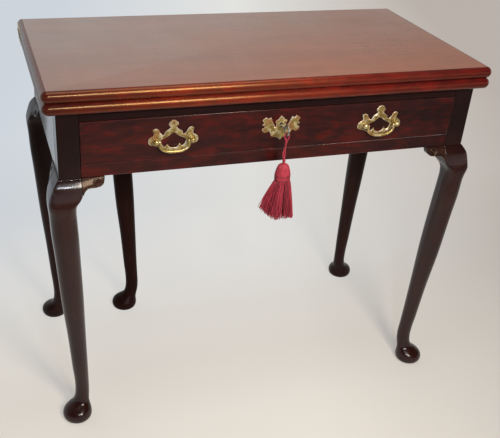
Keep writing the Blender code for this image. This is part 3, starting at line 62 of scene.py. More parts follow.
# Sizes in metres. Most are the part's own. The noses, bevels, bead, ears, escutcheon and
# tassel are finer than the part's.
GAP = 0.0003
TOP_WIDTH = 0.848
TOP_DEPTH = 0.422
TABLE_HEIGHT = 0.725
LEAF_THICKNESS = 0.0208
NOSE_DEPTH = 0.0100
TOP_CORNER_RADIUS = 0.012
NOSE_CORNER_RADIUS = 0.0015
FRAME_WIDTH = 0.8024
FRAME_DEPTH = 0.3938
FRONT_OVERHANG = 0.0196
FRAME_FRONT = -TOP_DEPTH / 2 + FRONT_OVERHANG
FRAME_BACK = FRAME_FRONT + FRAME_DEPTH
RAIL_BOTTOM = 0.5607
POST_SIDE = 0.0386
POST_HALF = POST_SIDE / 2
POST_ARRIS = 0.0012
CORNER_STEPS = 14
KNEE_REACH = 0.0398
FOOT_RADIUS = 0.0298
FOOT_OFFSET = 0.0092
EAR_LENGTH = 0.0405
EAR_DROP = 0.0460
EAR_DEPTH = 0.0100
GATE_POST_X = -0.2050
GATE_POST_INSET = 0.0018
GATE_TOP_CLEARANCE = 0.0010
GATE_POST_Y = FRAME_BACK - GATE_POST_INSET - POST_HALF
FRAME_TOP = TABLE_HEIGHT - 2 * LEAF_THICKNESS - 2 * GAP
GATE_TOP = FRAME_TOP - GATE_TOP_CLEARANCE
BOTTOM_RAIL_HEIGHT = 0.0222
TOP_RAIL_HEIGHT = 0.0182
OPENING_BOTTOM = RAIL_BOTTOM + BOTTOM_RAIL_HEIGHT
OPENING_TOP = FRAME_TOP - TOP_RAIL_HEIGHT
POST_INNER_X = FRAME_WIDTH / 2 - POST_SIDE
DRAWER_CLEARANCE = 0.0006
DRAWER_HALF = POST_INNER_X - DRAWER_CLEARANCE
DRAWER_BOTTOM = OPENING_BOTTOM + DRAWER_CLEARANCE
DRAWER_TOP = OPENING_TOP - DRAWER_CLEARANCE
DRAWER_FRONT_THICKNESS = 0.019
BEAD_WIDTH = 0.0028
BEAD_DEPTH = 0.0045
BEAD_PROUD = 0.0011
BEAD_NOSE = 0.0013
FITTINGS_X = 0.003
KEY_X = 0.003
KEYHOLE_HEIGHT = 0.6340
KEYHOLE_RADIUS = 0.0034
KEY_BOW_PROUD = 0.0300
KEY_BOW_Y = FRAME_FRONT - KEY_BOW_PROUD
KEY_BOW_RADIUS = 0.0088
KEY_BOW_ROD_RADIUS = 0.0018
KEY_SHAFT_RADIUS = 0.0021
KEY_BIT_WIDTH = 0.0024
KEY_BIT_LENGTH = 0.0030
KEY_BIT_REACH = 0.0075
LOCK_THICKNESS = 0.012
BOLT_SETBACK = 0.0045
PLATE_THICKNESS = 0.0016
PLATE_BEVEL = 0.0013
HANDLE_X = 0.2020
HANDLE_HEIGHT = 0.6210
PLATE_HALF_WIDTH = 0.0455
PLATE_HALF_HEIGHT = 0.0290
ESCUTCHEON_HALF_WIDTH = 0.0374
ESCUTCHEON_HALF_HEIGHT = 0.0237
BOSS_SPACING = 0.0660
BOSS_RADIUS = 0.0052
BOSS_PROUD = 0.0098
BOSS_Y = FRAME_FRONT - BOSS_PROUD
POST_SHANK_RADIUS = 0.0024
POST_SHANK_SPARE = 0.003
BAIL_DROP = 0.0200
BAIL_ROD_RADIUS = 0.0029
BAIL_TIP_RADIUS = 0.0014
BAIL_TIP_DEPTH = 0.0035
TASSEL_HEAD_TOP = 0.5691
TASSEL_HEAD_RADIUS = 0.0154
TASSEL_HEAD_HEIGHT = 0.0333
TASSEL_SKIRT_LENGTH = 0.0818
TASSEL_SKIRT_HALF_WIDTH = 0.0345
TASSEL_SKIRT_HALF_DEPTH = 0.0130
STRAND_RADIUS = 0.0008
STRAND_SPREAD = 0.0012
STRAND_WAVE = 0.0007
CORD_RADIUS = 0.0018
LOOP_YARN_RADIUS = 0.0011
SIDE_YARN_RADIUS = 0.0014
CORD_END_Z = 0.511
TASSEL_HANG_Z = KEYHOLE_HEIGHT - KEY_BOW_RADIUS - KEY_BOW_ROD_RADIUS - GAP

# How far each leg's foot leans towards the middle, and where the lean starts and is full
LEANS = {
    "leg_front_left": 0.0016, "leg_front_right": -0.0035,
    "leg_rear_left": 0.0009, "leg_rear_right": 0.0031,
}
LEAN_TOP_share = 0.89
LEAN_FULL_share = 0.18

# The legs' stations: height, reach outwards and inwards, roundness of the outer and of the
# other corners, and squeeze across
SHIN_STATION_shares = [
    (0.085, 0.291, 0.979, 1.00, 1.00, 0.93), (0.118, 0.250, 1.020, 1.00, 1.00, 0.91),
    (0.152, 0.261, 0.991, 1.00, 1.00, 0.935), (0.214, 0.329, 0.946, 1.00, 1.00, 0.975),
    (0.357, 0.470, 0.873, 1.00, 1.00, 0.98), (0.535, 0.690, 0.800, 0.92, 0.92, 0.96),
    (0.713, 0.837, 0.605, 0.85, 0.85, 1.02), (0.804, 0.917, 0.470, 0.80, 0.80, 1.08),
    (0.864, 0.944, 0.385, 0.80, 0.80, 1.08), (0.886, 0.966, 0.360, 0.72, 0.72, 1.07),
    (0.902, 0.990, 0.370, 0.62, 0.60, 1.05), (0.915, 1.000, 0.450, 0.55, 0.42, 1.03),
    (0.932, 0.967, 0.760, 0.48, 0.20, 1.01), (0.949, 0.900, 0.980, 0.36, 0.08, 1.00),
    (0.963, 0.832, 1.000, 0.22, 0.05, 1.00), (0.977, 0.751, 1.000, 0.11, 0.05, 1.00),
    (0.985, 0.678, 1.000, 0.08, 0.05, 1.00), (0.994, 0.580, 1.000, 0.07, 0.05, 1.00),
]
# The feet's stations: height, radius, offset and squeeze across
FOOT_STATION_shares = [
    (0.000, 0.846, 1.00, 1.00), (0.050, 0.903, 1.00, 1.00), (0.151, 0.960, 1.00, 1.00),
    (0.350, 1.000, 0.99, 1.00), (0.547, 0.973, 0.95, 1.00), (0.738, 0.895, 0.80, 1.00),
    (0.940, 0.737, 0.44, 1.00), (1.141, 0.582, 0.00, 0.98), (1.410, 0.525, -0.28, 0.95),
]
EAR_OUTLINE_shares = [
    (0.000, 0.60), (0.030, 0.57), (0.070, 0.50), (0.140, 0.43), (0.280, 0.37), (0.600, 0.38),
    (0.780, 0.36), (0.900, 0.30), (0.965, 0.20), (1.000, 0.06),
]
EAR_FADE_share = 0.55
# The knees: a thin bead along their top, and how far their outer faces bulge
KNEE_BEAD = 0.0011
KNEE_CROWN_HEIGHTS = (0.440, 0.500, 0.548, RAIL_BOTTOM)
KNEE_CROWN_shares = (0.0, 0.03, 0.03, 0.0)
KNEE_CROWN_RISE_share = 0.4
# The scroll carved in the ears: its depth, the spacing of its turns and its reach
CARVING_DEPTH = 0.0012
CARVING_PITCH = 0.0032
CARVING_REACH = 0.0085
CARVING_PLACE_share = 0.66
CARVING_BORDER = 0.003

# The left halves of the brasses' outlines, where 1 marks a sharp corner
BACKPLATE_shares = [
    (0.00, 1.25, 0), (-0.09, 1.20, 0), (-0.17, 1.08, 0), (-0.20, 0.94, 0), (-0.11, 0.78, 1),
    (-0.22, 0.64, 0), (-0.32, 0.52, 0), (-0.38, 0.31, 1), (-0.45, 0.33, 0), (-0.54, 0.50, 0),
    (-0.59, 0.66, 0), (-0.70, 0.75, 0), (-0.82, 0.66, 0), (-0.78, 0.46, 0), (-0.80, 0.29, 1),
    (-0.94, 0.15, 0), (-1.00, -0.07, 0), (-0.94, -0.29, 0), (-0.77, -0.37, 0),
    (-0.64, -0.42, 1), (-0.47, -0.60, 0), (-0.25, -0.71, 0), (0.00, -0.74, 0),
]
BACKPLATE_OPENING_shares = [
    (0.00, 0.46, 1), (-0.08, 0.37, 0), (-0.20, 0.22, 0), (-0.32, 0.11, 0), (-0.45, 0.02, 0),
    (-0.505, -0.09, 0), (-0.44, -0.35, 0), (-0.34, -0.45, 0), (-0.24, -0.28, 1),
    (-0.15, -0.51, 0), (0.00, -0.545, 0),
]
ESCUTCHEON_shares = [
    (0.00, 0.71, 1), (-0.09, 0.59, 0), (-0.17, 0.42, 0), (-0.30, 0.28, 0), (-0.25, 0.01, 0),
    (-0.32, -0.25, 1), (-0.36, -0.01, 0), (-0.46, 0.25, 0), (-0.55, 0.63, 1), (-0.68, 0.50, 1),
    (-0.80, 0.64, 0), (-0.98, 0.42, 0), (-0.86, 0.17, 1), (-0.98, 0.02, 0), (-0.82, -0.14, 1),
    (-0.97, -0.30, 0), (-0.95, -0.46, 0), (-0.80, -0.63, 0), (-0.62, -0.48, 1),
    (-0.54, -0.66, 0), (-0.46, -0.94, 0), (-0.26, -1.02, 1), (-0.12, -1.12, 0),
    (0.00, -1.29, 1),
]
BAIL_PATH_shares = [
    (0.00, -1.00, 1.00), (0.27, -0.975, 0.98), (0.52, -0.87, 0.92), (0.72, -0.66, 0.86),
    (0.80, -0.42, 0.80), (0.785, -0.20, 0.74),
]
BOSS_shares = [
    (0.21, -0.98), (0.56, -0.83), (0.84, -0.54), (0.99, -0.16), (0.97, 0.25), (0.79, 0.62),
    (0.65, 0.90), (0.65, 1.25), (0.82, 1.50),
]
TASSEL_HEAD_shares = [
    (0.22, 0.00), (0.50, 0.06), (0.73, 0.19), (0.82, 0.32), (0.94, 0.53), (1.00, 0.72),
    (0.98, 1.00),
]
# Where the skirt's strands end: place in the binding, distance from the middle as a share of
# TASSEL_SKIRT_HALF_WIDTH, and depth as a share of TASSEL_SKIRT_LENGTH
STRAND_END_shares = [
    (-1.00, -1.20, 0.65), (-0.80, -0.98, 0.77), (-0.45, -0.55, 0.92), (-0.20, -0.24, 0.985),
    (0.55, 0.66, 1.00), (1.00, 0.82, 0.99),
]
BINDING_LEFT_share = -0.40
BINDING_RIGHT_share = 0.44

HANDS = ((-1, "left"), (1, "right"))


def new_object(name, data):
    obj = bpy.data.objects.new(name, data)
    bpy.context.collection.objects.link(obj)
    return obj


# Camera

def make_camera():
    data = bpy.data.cameras.new("camera")
    data.lens = 56.068
    data.sensor_width = 36.0
    data.shift_x = 0.04413
    data.shift_y = 0.02596
    camera = new_object("camera", data)
    camera.location = (-0.52513, -1.40939, 1.18569)
    camera.rotation_euler = (1.03332, -0.05818, -0.31163)
    bpy.context.scene.camera = camera


make_camera()


# Node helpers

class Nodes:
    """A short way to build a material's nodes."""

    def __init__(self, name):
        self.material = bpy.data.materials.new(name)
        self.material.use_nodes = True
        self.tree = self.material.node_tree
        self.shader = self.tree.nodes["Principled BSDF"]

    def add(self, kind, **inputs):
        node = self.tree.nodes.new("ShaderNode" + kind)
        for key, value in inputs.items():
            self.put(node, key, value)
        return node

    def put(self, node, key, value):
        """Set an input by its name, or link another node's output to it."""
        socket = node.inputs[key.replace("_", " ")] if isinstance(key, str) else node.inputs[key]
        if isinstance(value, bpy.types.NodeSocket):
            self.tree.links.new(value, socket)
        else:
            socket.default_value = value

    def coords(self, scale, shift=(0.0, 0.0, 0.0)):
        source = self.add("TexCoord").outputs["Object"]
        return self.add("Mapping", Vector=source, Scale=scale, Location=shift).outputs["Vector"]

    def noise(self, vector, detail, roughness, distortion=0.0):
        return self.add(
            "TexNoise", Vector=vector, Scale=1.0, Detail=detail, Roughness=roughness,
            Distortion=distortion,
        ).outputs["Fac"]

    def ramp(self, fac, stops):
        node = self.add("ValToRGB", Fac=fac)
        elements = node.color_ramp.elements
        while len(elements) < len(stops):
            elements.new(0.5)
        for element, (place, colour) in zip(elements, stops):
            element.position = place
            element.color = (*colour, 1.0)
        return node.outputs["Color"]

    def mix(self, fac, first, second, blend="MIX"):
        node = self.tree.nodes.new("ShaderNodeMix")
        node.data_type = "RGBA"
        node.blend_type = blend
        for key, value in ((0, fac), (6, first), (7, second)):
            self.put(node, key, value)
        return node.outputs[2]

    def remap(self, value, low, high, to_low=0.0, to_high=1.0, kind="LINEAR"):
        node = self.add("MapRange", Value=value, From_Min=low, From_Max=high, To_Min=to_low,
                        To_Max=to_high)
        node.interpolation_type = kind
        return node.outputs["Result"]

    def maths(self, operation, first, second):
        node = self.tree.nodes.new("ShaderNodeMath")
        node.operation = operation
        self.put(node, 0, first)
        self.put(node, 1, second)
        return node.outputs[0]

    def times(self, first, second):
        return self.maths("MULTIPLY", first, second)

    def bump(self, height, distance, strength):
        node = self.add("Bump", Height=height, Distance=distance, Strength=strength)
        self.put(self.shader, "Normal", node.outputs["Normal"])

    def finish(self, **values):
        for key, value in values.items():
            self.put(self.shader, key, value)
        return self.material


def wood(name, shades, along, roughness=0.28, coat=0.0, coat_roughness=0.08, contrast=1.0,
         pores=0.5, drift=None, gloss=0.5, gloss_tint=None, patches=0.0):
    """Polished wood whose grain runs along an axis of the object. A drift shifts its colour
    from one end of a direction to the other: (direction, low, high, colour, colour, ...)."""
    n = Nodes(name)
    dark, middle, light = shades
    long_axis = "XYZ".index(along)
    def stretched(lengthwise, across, shift=0.0):
        scale = [across] * 3
        scale[long_axis] = lengthwise
        return n.coords(tuple(scale), shift=(shift, shift, shift))
    figure = n.noise(stretched(2.4, 17.0), 3.0, 0.55, 0.8)
    streaks = n.noise(stretched(5.0, 170.0, 3.1), 5.0, 0.6, 0.2)
    ripple = n.noise(stretched(30.0, 8.0, 5.3), 2.0, 0.5)
    fine = n.noise(stretched(26.0, 1300.0, 7.7), 2.0, 0.6)
    clouds = n.noise(n.coords((6.0,) * 3, shift=(1.7, 0.0, 0.0)), 3.0, 0.55)
    mixed = n.maths("ADD", n.times(figure, 0.45), n.times(streaks, 0.35))
    mixed = n.maths("ADD", mixed, n.times(ripple, 0.20))
    spread = 0.17 / contrast
    colour = n.ramp(mixed, [(0.5 - spread, dark), (0.5, middle), (0.5 + spread, light)])
    if drift:
        direction, low, high, *colours = drift
        place = n.add("VectorMath")
        place.operation = "DOT_PRODUCT"
        n.put(place, 0, n.add("TexCoord").outputs["Object"])
        place.inputs[1].default_value = direction
        share = n.remap(place.outputs["Value"], low, high)
        share = n.maths("ADD", share, n.remap(clouds, 0.3, 0.7, -0.12, 0.12))
        stops = [(i / (len(colours) - 1), shade) for i, shade in enumerate(colours)]
        colour = n.mix(1.0, colour, n.ramp(share, stops), "MULTIPLY")
    if patches:
        flame = n.noise(stretched(22.0, 62.0, 9.3), 3.0, 0.6, 0.6)
        tones = n.ramp(flame, [(0.36, (0.62, 0.78, 1.15)), (0.50, (0.95, 1.0, 1.0)),
                               (0.64, (1.75, 0.98, 1.00))])
        colour = n.mix(patches, colour, tones, "MULTIPLY")
    pore = n.remap(fine, 0.32, 0.46, 1.0, 0.0)
    colour = n.mix(n.times(pore, pores), colour, (*[c * 0.5 for c in dark], 1.0))
    rough = n.remap(clouds, 0.3, 0.7, roughness - 0.05, roughness + 0.07)
    n.bump(n.maths("SUBTRACT", streaks, n.times(pore, 0.5)), 0.00004, 0.4)
    if gloss_tint:
        n.put(n.shader, "Specular Tint", (*gloss_tint, 1.0))
    return n.finish(
        Base_Color=colour, Roughness=rough, IOR=1.5, Coat_Weight=coat,
        Coat_Roughness=coat_roughness, Specular_IOR_Level=gloss,
    )


def brass(name, colour=(0.60, 0.46, 0.17), tarnish=(0.27, 0.17, 0.045), metal=0.70,
          pale=(0.78, 0.68, 0.46), pits=0.75):
    """Old brass: rubbed pale in places, olive where its patina is left, with dark pits."""
    n = Nodes(name)
    spots = n.noise(n.coords((330.0,) * 3), 3.0, 0.6)
    wide = n.noise(n.coords((120.0,) * 3, shift=(2.0, 1.0, 0.0)), 3.0, 0.5)
    red = n.noise(n.coords((65.0,) * 3, shift=(0.6, 3.0, 0.9)), 2.0, 0.5)
    base = n.mix(n.remap(wide, 0.42, 0.62, 0.0, 0.85), (*colour, 1.0), (*tarnish, 1.0))
    base = n.mix(n.remap(wide, 0.48, 0.34, 0.0, 0.8), base, (*pale, 1.0))
    base = n.mix(n.remap(red, 0.54, 0.66, 0.0, 0.6), base, (0.46, 0.19, 0.065, 1.0))
    dark = n.remap(spots, 0.55, 0.63, 0.0, pits)
    base = n.mix(dark, base, (0.045, 0.026, 0.012, 1.0))
    rough = n.remap(spots, 0.3, 0.7, 0.24, 0.46)
    n.bump(n.maths("SUBTRACT", wide, n.times(dark, 0.5)), 0.0003, 0.7)
    return n.finish(Base_Color=base, Metallic=metal, Roughness=rough)


def steel(name):
    n = Nodes(name)
    marks = n.noise(n.coords((220.0,) * 3), 5.0, 0.65)
    base = n.mix(n.remap(marks, 0.45, 0.7, 0.0, 0.7), (0.42, 0.40, 0.37, 1.0),
                 (0.10, 0.075, 0.055, 1.0))
    n.bump(marks, 0.00005, 0.5)
    return n.finish(Base_Color=base, Metallic=1.0, Roughness=n.remap(marks, 0.3, 0.7, 0.28, 0.5))


def yarn(name, dark=(0.20, 0.010, 0.022), light=(0.46, 0.030, 0.060)):
    """Silky twisted thread: colour varies from strand to strand, with a soft sheen."""
    n = Nodes(name)
    strands = n.noise(n.coords((620.0, 620.0, 24.0)), 3.0, 0.6, 0.3)
    wide = n.noise(n.coords((75.0, 75.0, 16.0), shift=(4.0, 0.0, 0.0)), 2.0, 0.5)
    base = n.ramp(strands, [(0.36, dark), (0.60, light)])
    base = n.mix(n.remap(wide, 0.42, 0.66, 0.0, 0.65), base, (*dark, 1.0))
    n.bump(strands, 0.0002, 0.7)
    return n.finish(
        Base_Color=base, Roughness=0.66, Sheen_Weight=0.20, Sheen_Roughness=0.4,
        Sheen_Tint=(0.9, 0.35, 0.4, 1.0),
    )


# Dark, middle and light shade of each wood
TOP_WOOD = (0.165, 0.066, 0.034), (0.220, 0.088, 0.046), (0.275, 0.114, 0.062)
EDGE_WOOD = (0.075, 0.0085, 0.0045), (0.110, 0.0135, 0.0068), (0.155, 0.0200, 0.0095)
DARK_WOOD = (0.018, 0.0060, 0.0050), (0.032, 0.0095, 0.0075), (0.052, 0.0150, 0.0110)
# Near-black: painted shade on the rail under the top's overhang.
SHADED_TOP_RAIL_WOOD = (0.008, 0.0034, 0.0032), (0.013, 0.0048, 0.0044), (0.020, 0.0068, 0.0060)
LEG_WOOD = (0.013, 0.0040, 0.0034), (0.022, 0.0060, 0.0049), (0.034, 0.0092, 0.0070)
# Lighter and warmer than the legs' wood: painted warm reflection on the carved ears.
EAR_WOOD_AND_SHEEN = (0.014, 0.0050, 0.0042), (0.026, 0.0090, 0.0070), (0.052, 0.0200, 0.0125)
# Darker than the front legs' wood: painted shade on the rear and gate legs under the top.
REAR_LEG_SHADED_WOOD = (0.010, 0.0036, 0.0030), (0.017, 0.0054, 0.0044), (0.027, 0.0084, 0.0066)
DRAWER_WOOD = (0.024, 0.0042, 0.0034), (0.043, 0.0064, 0.0047), (0.070, 0.0095, 0.0064)
OAK = (0.150, 0.080, 0.036), (0.260, 0.150, 0.072), (0.380, 0.240, 0.125)

# The top is greyer at the back on the left and redder at the front on the right: a painted
# reflection of pale surroundings on its polish. The front and the noses are darker towards the
# right; the noses are darker at their left end too, and that is painted shade. The posts are
# darker than the legs below.
TOP_PAINTED_SHEEN_DRIFT = ((0.62, -0.62, 0.0), -0.30, 0.36, (0.82, 0.95, 1.15), (1.22, 0.98, 0.88))
FRONT_DRIFT = ((1.0, 0.0, 0.0), -0.34, 0.40, (1.05, 1.05, 1.05), (0.58, 0.66, 0.70))
# Painted shade darkens the noses at their left end; they also darken towards the right.
EDGE_DRIFT_AND_SHADE = ((1.0, 0.0, 0.0), -0.44, 0.44, (0.60, 0.62, 0.95), (1.0, 1.0, 1.0),
              (0.90, 0.75, 1.1), (0.50, 0.45, 0.90))
POST_DRIFT = ((0.0, 0.0, 1.0), 0.50, 0.60, (1.10, 1.10, 1.05), (0.42, 0.50, 0.55))

LOOKS = {
    "top": wood("top_mahogany", TOP_WOOD, "X", roughness=0.30, coat=0.55, coat_roughness=0.14,
                contrast=0.75, pores=0.35, drift=TOP_PAINTED_SHEEN_DRIFT),
    "edge": wood("edge_mahogany", EDGE_WOOD, "X", roughness=0.25, pores=0.3, drift=EDGE_DRIFT_AND_SHADE,
                 gloss_tint=(1.0, 0.60, 0.25), patches=0.5),
    "upright": wood("leg_mahogany", LEG_WOOD, "Z", roughness=0.20, gloss=0.36,
                    drift=POST_DRIFT),
    # The rear and gate legs are darker and duller: painted shade under the top.
    "upright_back_shaded": wood("rear_leg_mahogany_painted_shade", REAR_LEG_SHADED_WOOD, "Z", roughness=0.30, gloss=0.12,
                         drift=POST_DRIFT),
    "upright_gate_shaded": wood("gate_leg_mahogany_painted_shade", REAR_LEG_SHADED_WOOD, "Z", roughness=0.34, gloss=0.04,
                         drift=POST_DRIFT),
    # The ears' lighter, warmer wood is a painted warm reflection.
    "ear": wood("ear_mahogany_painted_sheen", EAR_WOOD_AND_SHEEN, "X", gloss=0.20, contrast=1.3,
                gloss_tint=(1.0, 0.82, 0.64)),
    # The rail under the top is near-black: painted shade from the top's overhang.
    "rail_under_top_shaded": wood("rail_top_mahogany_painted_shade", SHADED_TOP_RAIL_WOOD, "X", gloss=0.15),
    "rail_x": wood("rail_mahogany", DRAWER_WOOD, "X", gloss=0.35, drift=FRONT_DRIFT,
                   patches=0.8),
    "rail_back": wood("gate_mahogany", DARK_WOOD, "X", roughness=0.32, coat=0.3),
    "rail_y": wood("side_rail_mahogany", DARK_WOOD, "Y", coat=0.5),
    "drawer": wood("drawer_mahogany", DRAWER_WOOD, "X", contrast=1.3, gloss=0.35,
                   drift=FRONT_DRIFT, patches=1.0),
    "oak_x": wood("oak_along", OAK, "X", roughness=0.6, pores=0.3),
    "oak_y": wood("oak_deep", OAK, "Y", roughness=0.6, pores=0.3),
    "brass": brass("old_brass"),
    # Pale brass for the plates' bevelled edges: painted highlight.
    "rim_highlight_brass": brass("brass_painted_rim_highlight", (0.80, 0.68, 0.50), (0.52, 0.40, 0.24), 0.65,
                        (0.90, 0.83, 0.70), 0.35),
    "steel": steel("old_steel"),
    "silk": yarn("crimson_yarn"),
    "dark_silk": yarn("deep_crimson_yarn", (0.10, 0.006, 0.012), (0.24, 0.014, 0.028)),
}


def both(*names):
    return [f"{name}_{hand}" for name in names for _, hand in HANDS]


NODE_LOOKS = {
    "rail_under_top_shaded": ["front_rail_top"],
    "rail_x": ["front_rail_bottom"],
    "rail_back": ["gate_rail", "fly_rail_fixed"],
    "rail_y": both("side_rail"),
    "drawer": ["drawer_front"],
    "oak_x": ["back_rail", "fly_rail_spacer", "drawer_back", "drawer_bottom"],
    "oak_y": both("drawer_runner", "drawer_kicker", "drawer_side"),
    "brass": both("hinge_plate_lower", "hinge_plate_upper", "hinge_pin", "escutcheon_pin",
                  "handle_nut_left", "handle_nut_right"),
    "steel": ["knuckle_pin", "lock_case", "lock_bolt"],
}


def dress_nodes():
    """Give the CAD nodes that stay visible their materials."""
    for look, names in NODE_LOOKS.items():
        for name in names:
            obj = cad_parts[name]
            for slot in obj.material_slots:
                slot.material = LOOKS[look]
            if not obj.material_slots:
                obj.data.materials.append(LOOKS[look])


dress_nodes()


# Mesh helpers

def piece(name, bm, look, body, nodes=(), angle=35.0, second=None):
    """Make a piece of the scene from a bmesh, riding on a body and standing for CAD nodes.
    Faces whose material index is 1 have the second look."""
    bmesh.ops.recalc_face_normals(bm, faces=bm.faces[:])
    mesh = bpy.data.meshes.new(name)
    bm.to_mesh(mesh)
    bm.free()
    mesh.shade_smooth()
    mesh.set_sharp_from_angle(angle=math.radians(angle))
    mesh.materials.append(LOOKS[look])
    if second:
        mesh.materials.append(LOOKS[second])
    obj = new_object(name, mesh)
    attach(obj, body)
    if nodes:
        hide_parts(*nodes)
    return obj


def loft(bm, rings, closed=False):
    """Skin a run of rings. A closed run joins its last ring to its first."""
    loops = [[bm.verts.new(point) for point in ring] for ring in rings]
    pairs = list(zip(loops, loops[1:]))
    if closed:
        pairs.append((loops[-1], loops[0]))
    for lower, upper in pairs:
        for i in range(len(lower)):
            j = (i + 1) % len(lower)
            bm.faces.new((lower[i], lower[j], upper[j], upper[i]))
    if not closed:
        bm.faces.new(loops[0][::-1])
        bm.faces.new(loops[-1])


def between_points(t, start, end, leave, arrive):
    """The curve from start to end that has the given slopes there, at the share t."""
    return ((2 * t**3 - 3 * t**2 + 1) * start + (t**3 - 2 * t**2 + t) * leave
            + (3 * t**2 - 2 * t**3) * end + (t**3 - t**2) * arrive)


def monotone(xs, ys, at):
    """Smooth curve through points that never overshoots them."""
    xs, ys, at = np.asarray(xs), np.asarray(ys), np.asarray(at)
    steps = np.diff(xs)
    slopes = np.diff(ys) / steps
    tangent = np.zeros(len(xs))
    tangent[0], tangent[-1] = slopes[0], slopes[-1]
    for i in range(1, len(xs) - 1):
        if slopes[i - 1] * slopes[i] > 0:
            w1 = 2 * steps[i] + steps[i - 1]
            w2 = steps[i] + 2 * steps[i - 1]
            tangent[i] = (w1 + w2) / (w1 / slopes[i - 1] + w2 / slopes[i])
    index = np.clip(np.searchsorted(xs, at) - 1, 0, len(xs) - 2)
    step = steps[index]
    return between_points((at - xs[index]) / step, ys[index], ys[index + 1],
                          step * tangent[index], step * tangent[index + 1])


# The leaves

def leaf_outline(inset, steps=10):
    half = TOP_WIDTH / 2 - inset
    front = -TOP_DEPTH / 2 + inset
    radius = max(TOP_CORNER_RADIUS - inset, NOSE_CORNER_RADIUS)
    points = [(-half, TOP_DEPTH / 2)]
    for side, start in ((-1, math.pi), (1, 1.5 * math.pi)):
        for step in range(steps + 1):
            angle = start + 0.5 * math.pi * step / steps
            x = side * (half - radius) + radius * math.cos(angle)
            points.append((x, front + radius + radius * math.sin(angle)))
    points.append((half, TOP_DEPTH / 2))
    return points


def leaf(name, bottom, body):
    """A leaf with a rounded nose on three edges. Its nose is darker than its flat faces."""
    bm = bmesh.new()
    rings = []
    count = 28
    for step in range(count + 1):
        angle = math.pi * (step / count - 0.5)
        inset = NOSE_DEPTH * (1 - math.cos(angle))
        z = bottom + LEAF_THICKNESS / 2 * (1 + math.sin(angle))
        rings.append([(x, y, z) for x, y in leaf_outline(inset)])
    loft(bm, rings)
    bm.normal_update()
    for face in bm.faces:
        face.material_index = 0 if len(face.verts) > 4 else 1
    piece(name + "_fine", bm, "top", body, (name,), 50.0, "edge")


leaf("lower_leaf", TABLE_HEIGHT - 2 * LEAF_THICKNESS - GAP, "frame")
leaf("upper_leaf", TABLE_HEIGHT - LEAF_THICKNESS, "upper_leaf_body")


# Legs and ears

def section(low, high, across_low, across_high, radii):
    """A rectangle with four rounded corners, each with its own radius."""
    corners = [
        (high - radii[0], across_high - radii[0], radii[0], 0.0),
        (low + radii[1], across_high - radii[1], radii[1], 0.5),
        (low + radii[2], across_low + radii[2], radii[2], 1.0),
        (high - radii[3], across_low + radii[3], radii[3], 1.5),
    ]
    points = []
    for centre_u, centre_v, radius, start in corners:
        for step in range(CORNER_STEPS):
            angle = math.pi * (start + 0.5 * (step + 0.5) / CORNER_STEPS)
            points.append((centre_u + radius * math.cos(angle),
                           centre_v + radius * math.sin(angle)))
    return points


def with_face_points(points, between=7):
    """Add points on the flat faces between a section's four rounded corners."""
    result = []
    for i, (u, v) in enumerate(points):
        result.append((u, v))
        if (i + 1) % CORNER_STEPS == 0:
            next_u, next_v = points[(i + 1) % len(points)]
            for k in range(1, between + 1):
                share = k / (between + 1)
                result.append((u + (next_u - u) * share, v + (next_v - v) * share))
    return result


def crowned(u, v, low, high, z):
    """Bulge a knee's two outer faces, so that they fall away towards their edges."""
    amount = float(np.interp(z, KNEE_CROWN_HEIGHTS, KNEE_CROWN_shares))
    half, middle = (high - low) / 2, (high + low) / 2
    place_u, place_v = (u - middle) / half, (v - middle) / half
    return (u - amount * half * max(0.0, place_u) * (place_v ** 2 - KNEE_CROWN_RISE_share),
            v - amount * half * max(0.0, place_v) * (place_u ** 2 - KNEE_CROWN_RISE_share))


def bead_at(z):
    """How far the thin bead along the top of the knee stands out at a height."""
    rise = (z - (RAIL_BOTTOM - KNEE_BEAD)) / KNEE_BEAD
    return KNEE_BEAD * math.sqrt(1.0 - rise * rise) if abs(rise) < 1.0 else 0.0


def fine_stations(top):
    """The leg's stations on smooth curves, close together where the shape turns quickly."""
    rows = []
    for height, radius, offset, squeeze in FOOT_STATION_shares:
        size, middle = radius * FOOT_RADIUS, offset * FOOT_OFFSET
        rows.append((height * FOOT_RADIUS, middle + size, middle - size, 1.0, 1.0, squeeze))
    for height, outer, inner, out, side, squeeze in SHIN_STATION_shares:
        rows.append((height * RAIL_BOTTOM, outer * KNEE_REACH, -inner * POST_HALF,
                     out, side, squeeze))
    arris = POST_ARRIS / POST_HALF
    rows.append((RAIL_BOTTOM, POST_HALF, -POST_HALF, arris, arris, 1.0))
    table = np.array(rows)
    foot_top, knee_low, gap = 0.05, 0.47, 0.005
    heights = np.concatenate([
        np.linspace(0.0, foot_top, 34), np.linspace(foot_top + gap, knee_low, 40),
        np.linspace(knee_low + gap, RAIL_BOTTOM - 2.2 * KNEE_BEAD, 50),
        RAIL_BOTTOM - KNEE_BEAD + KNEE_BEAD * np.sin(np.linspace(-0.5, 0.5, 13) * math.pi),
    ])
    columns = [monotone(table[:, 0], table[:, k], heights) for k in range(1, 6)]
    stations = list(zip(heights, *columns))
    stations.append((top, POST_HALF, -POST_HALF, arris, arris, 1.0))
    return stations


def lean_at(z):
    top, full = LEAN_TOP_share * RAIL_BOTTOM, LEAN_FULL_share * RAIL_BOTTOM
    return min(1.0, max(0.0, (top - z) / (top - full)))


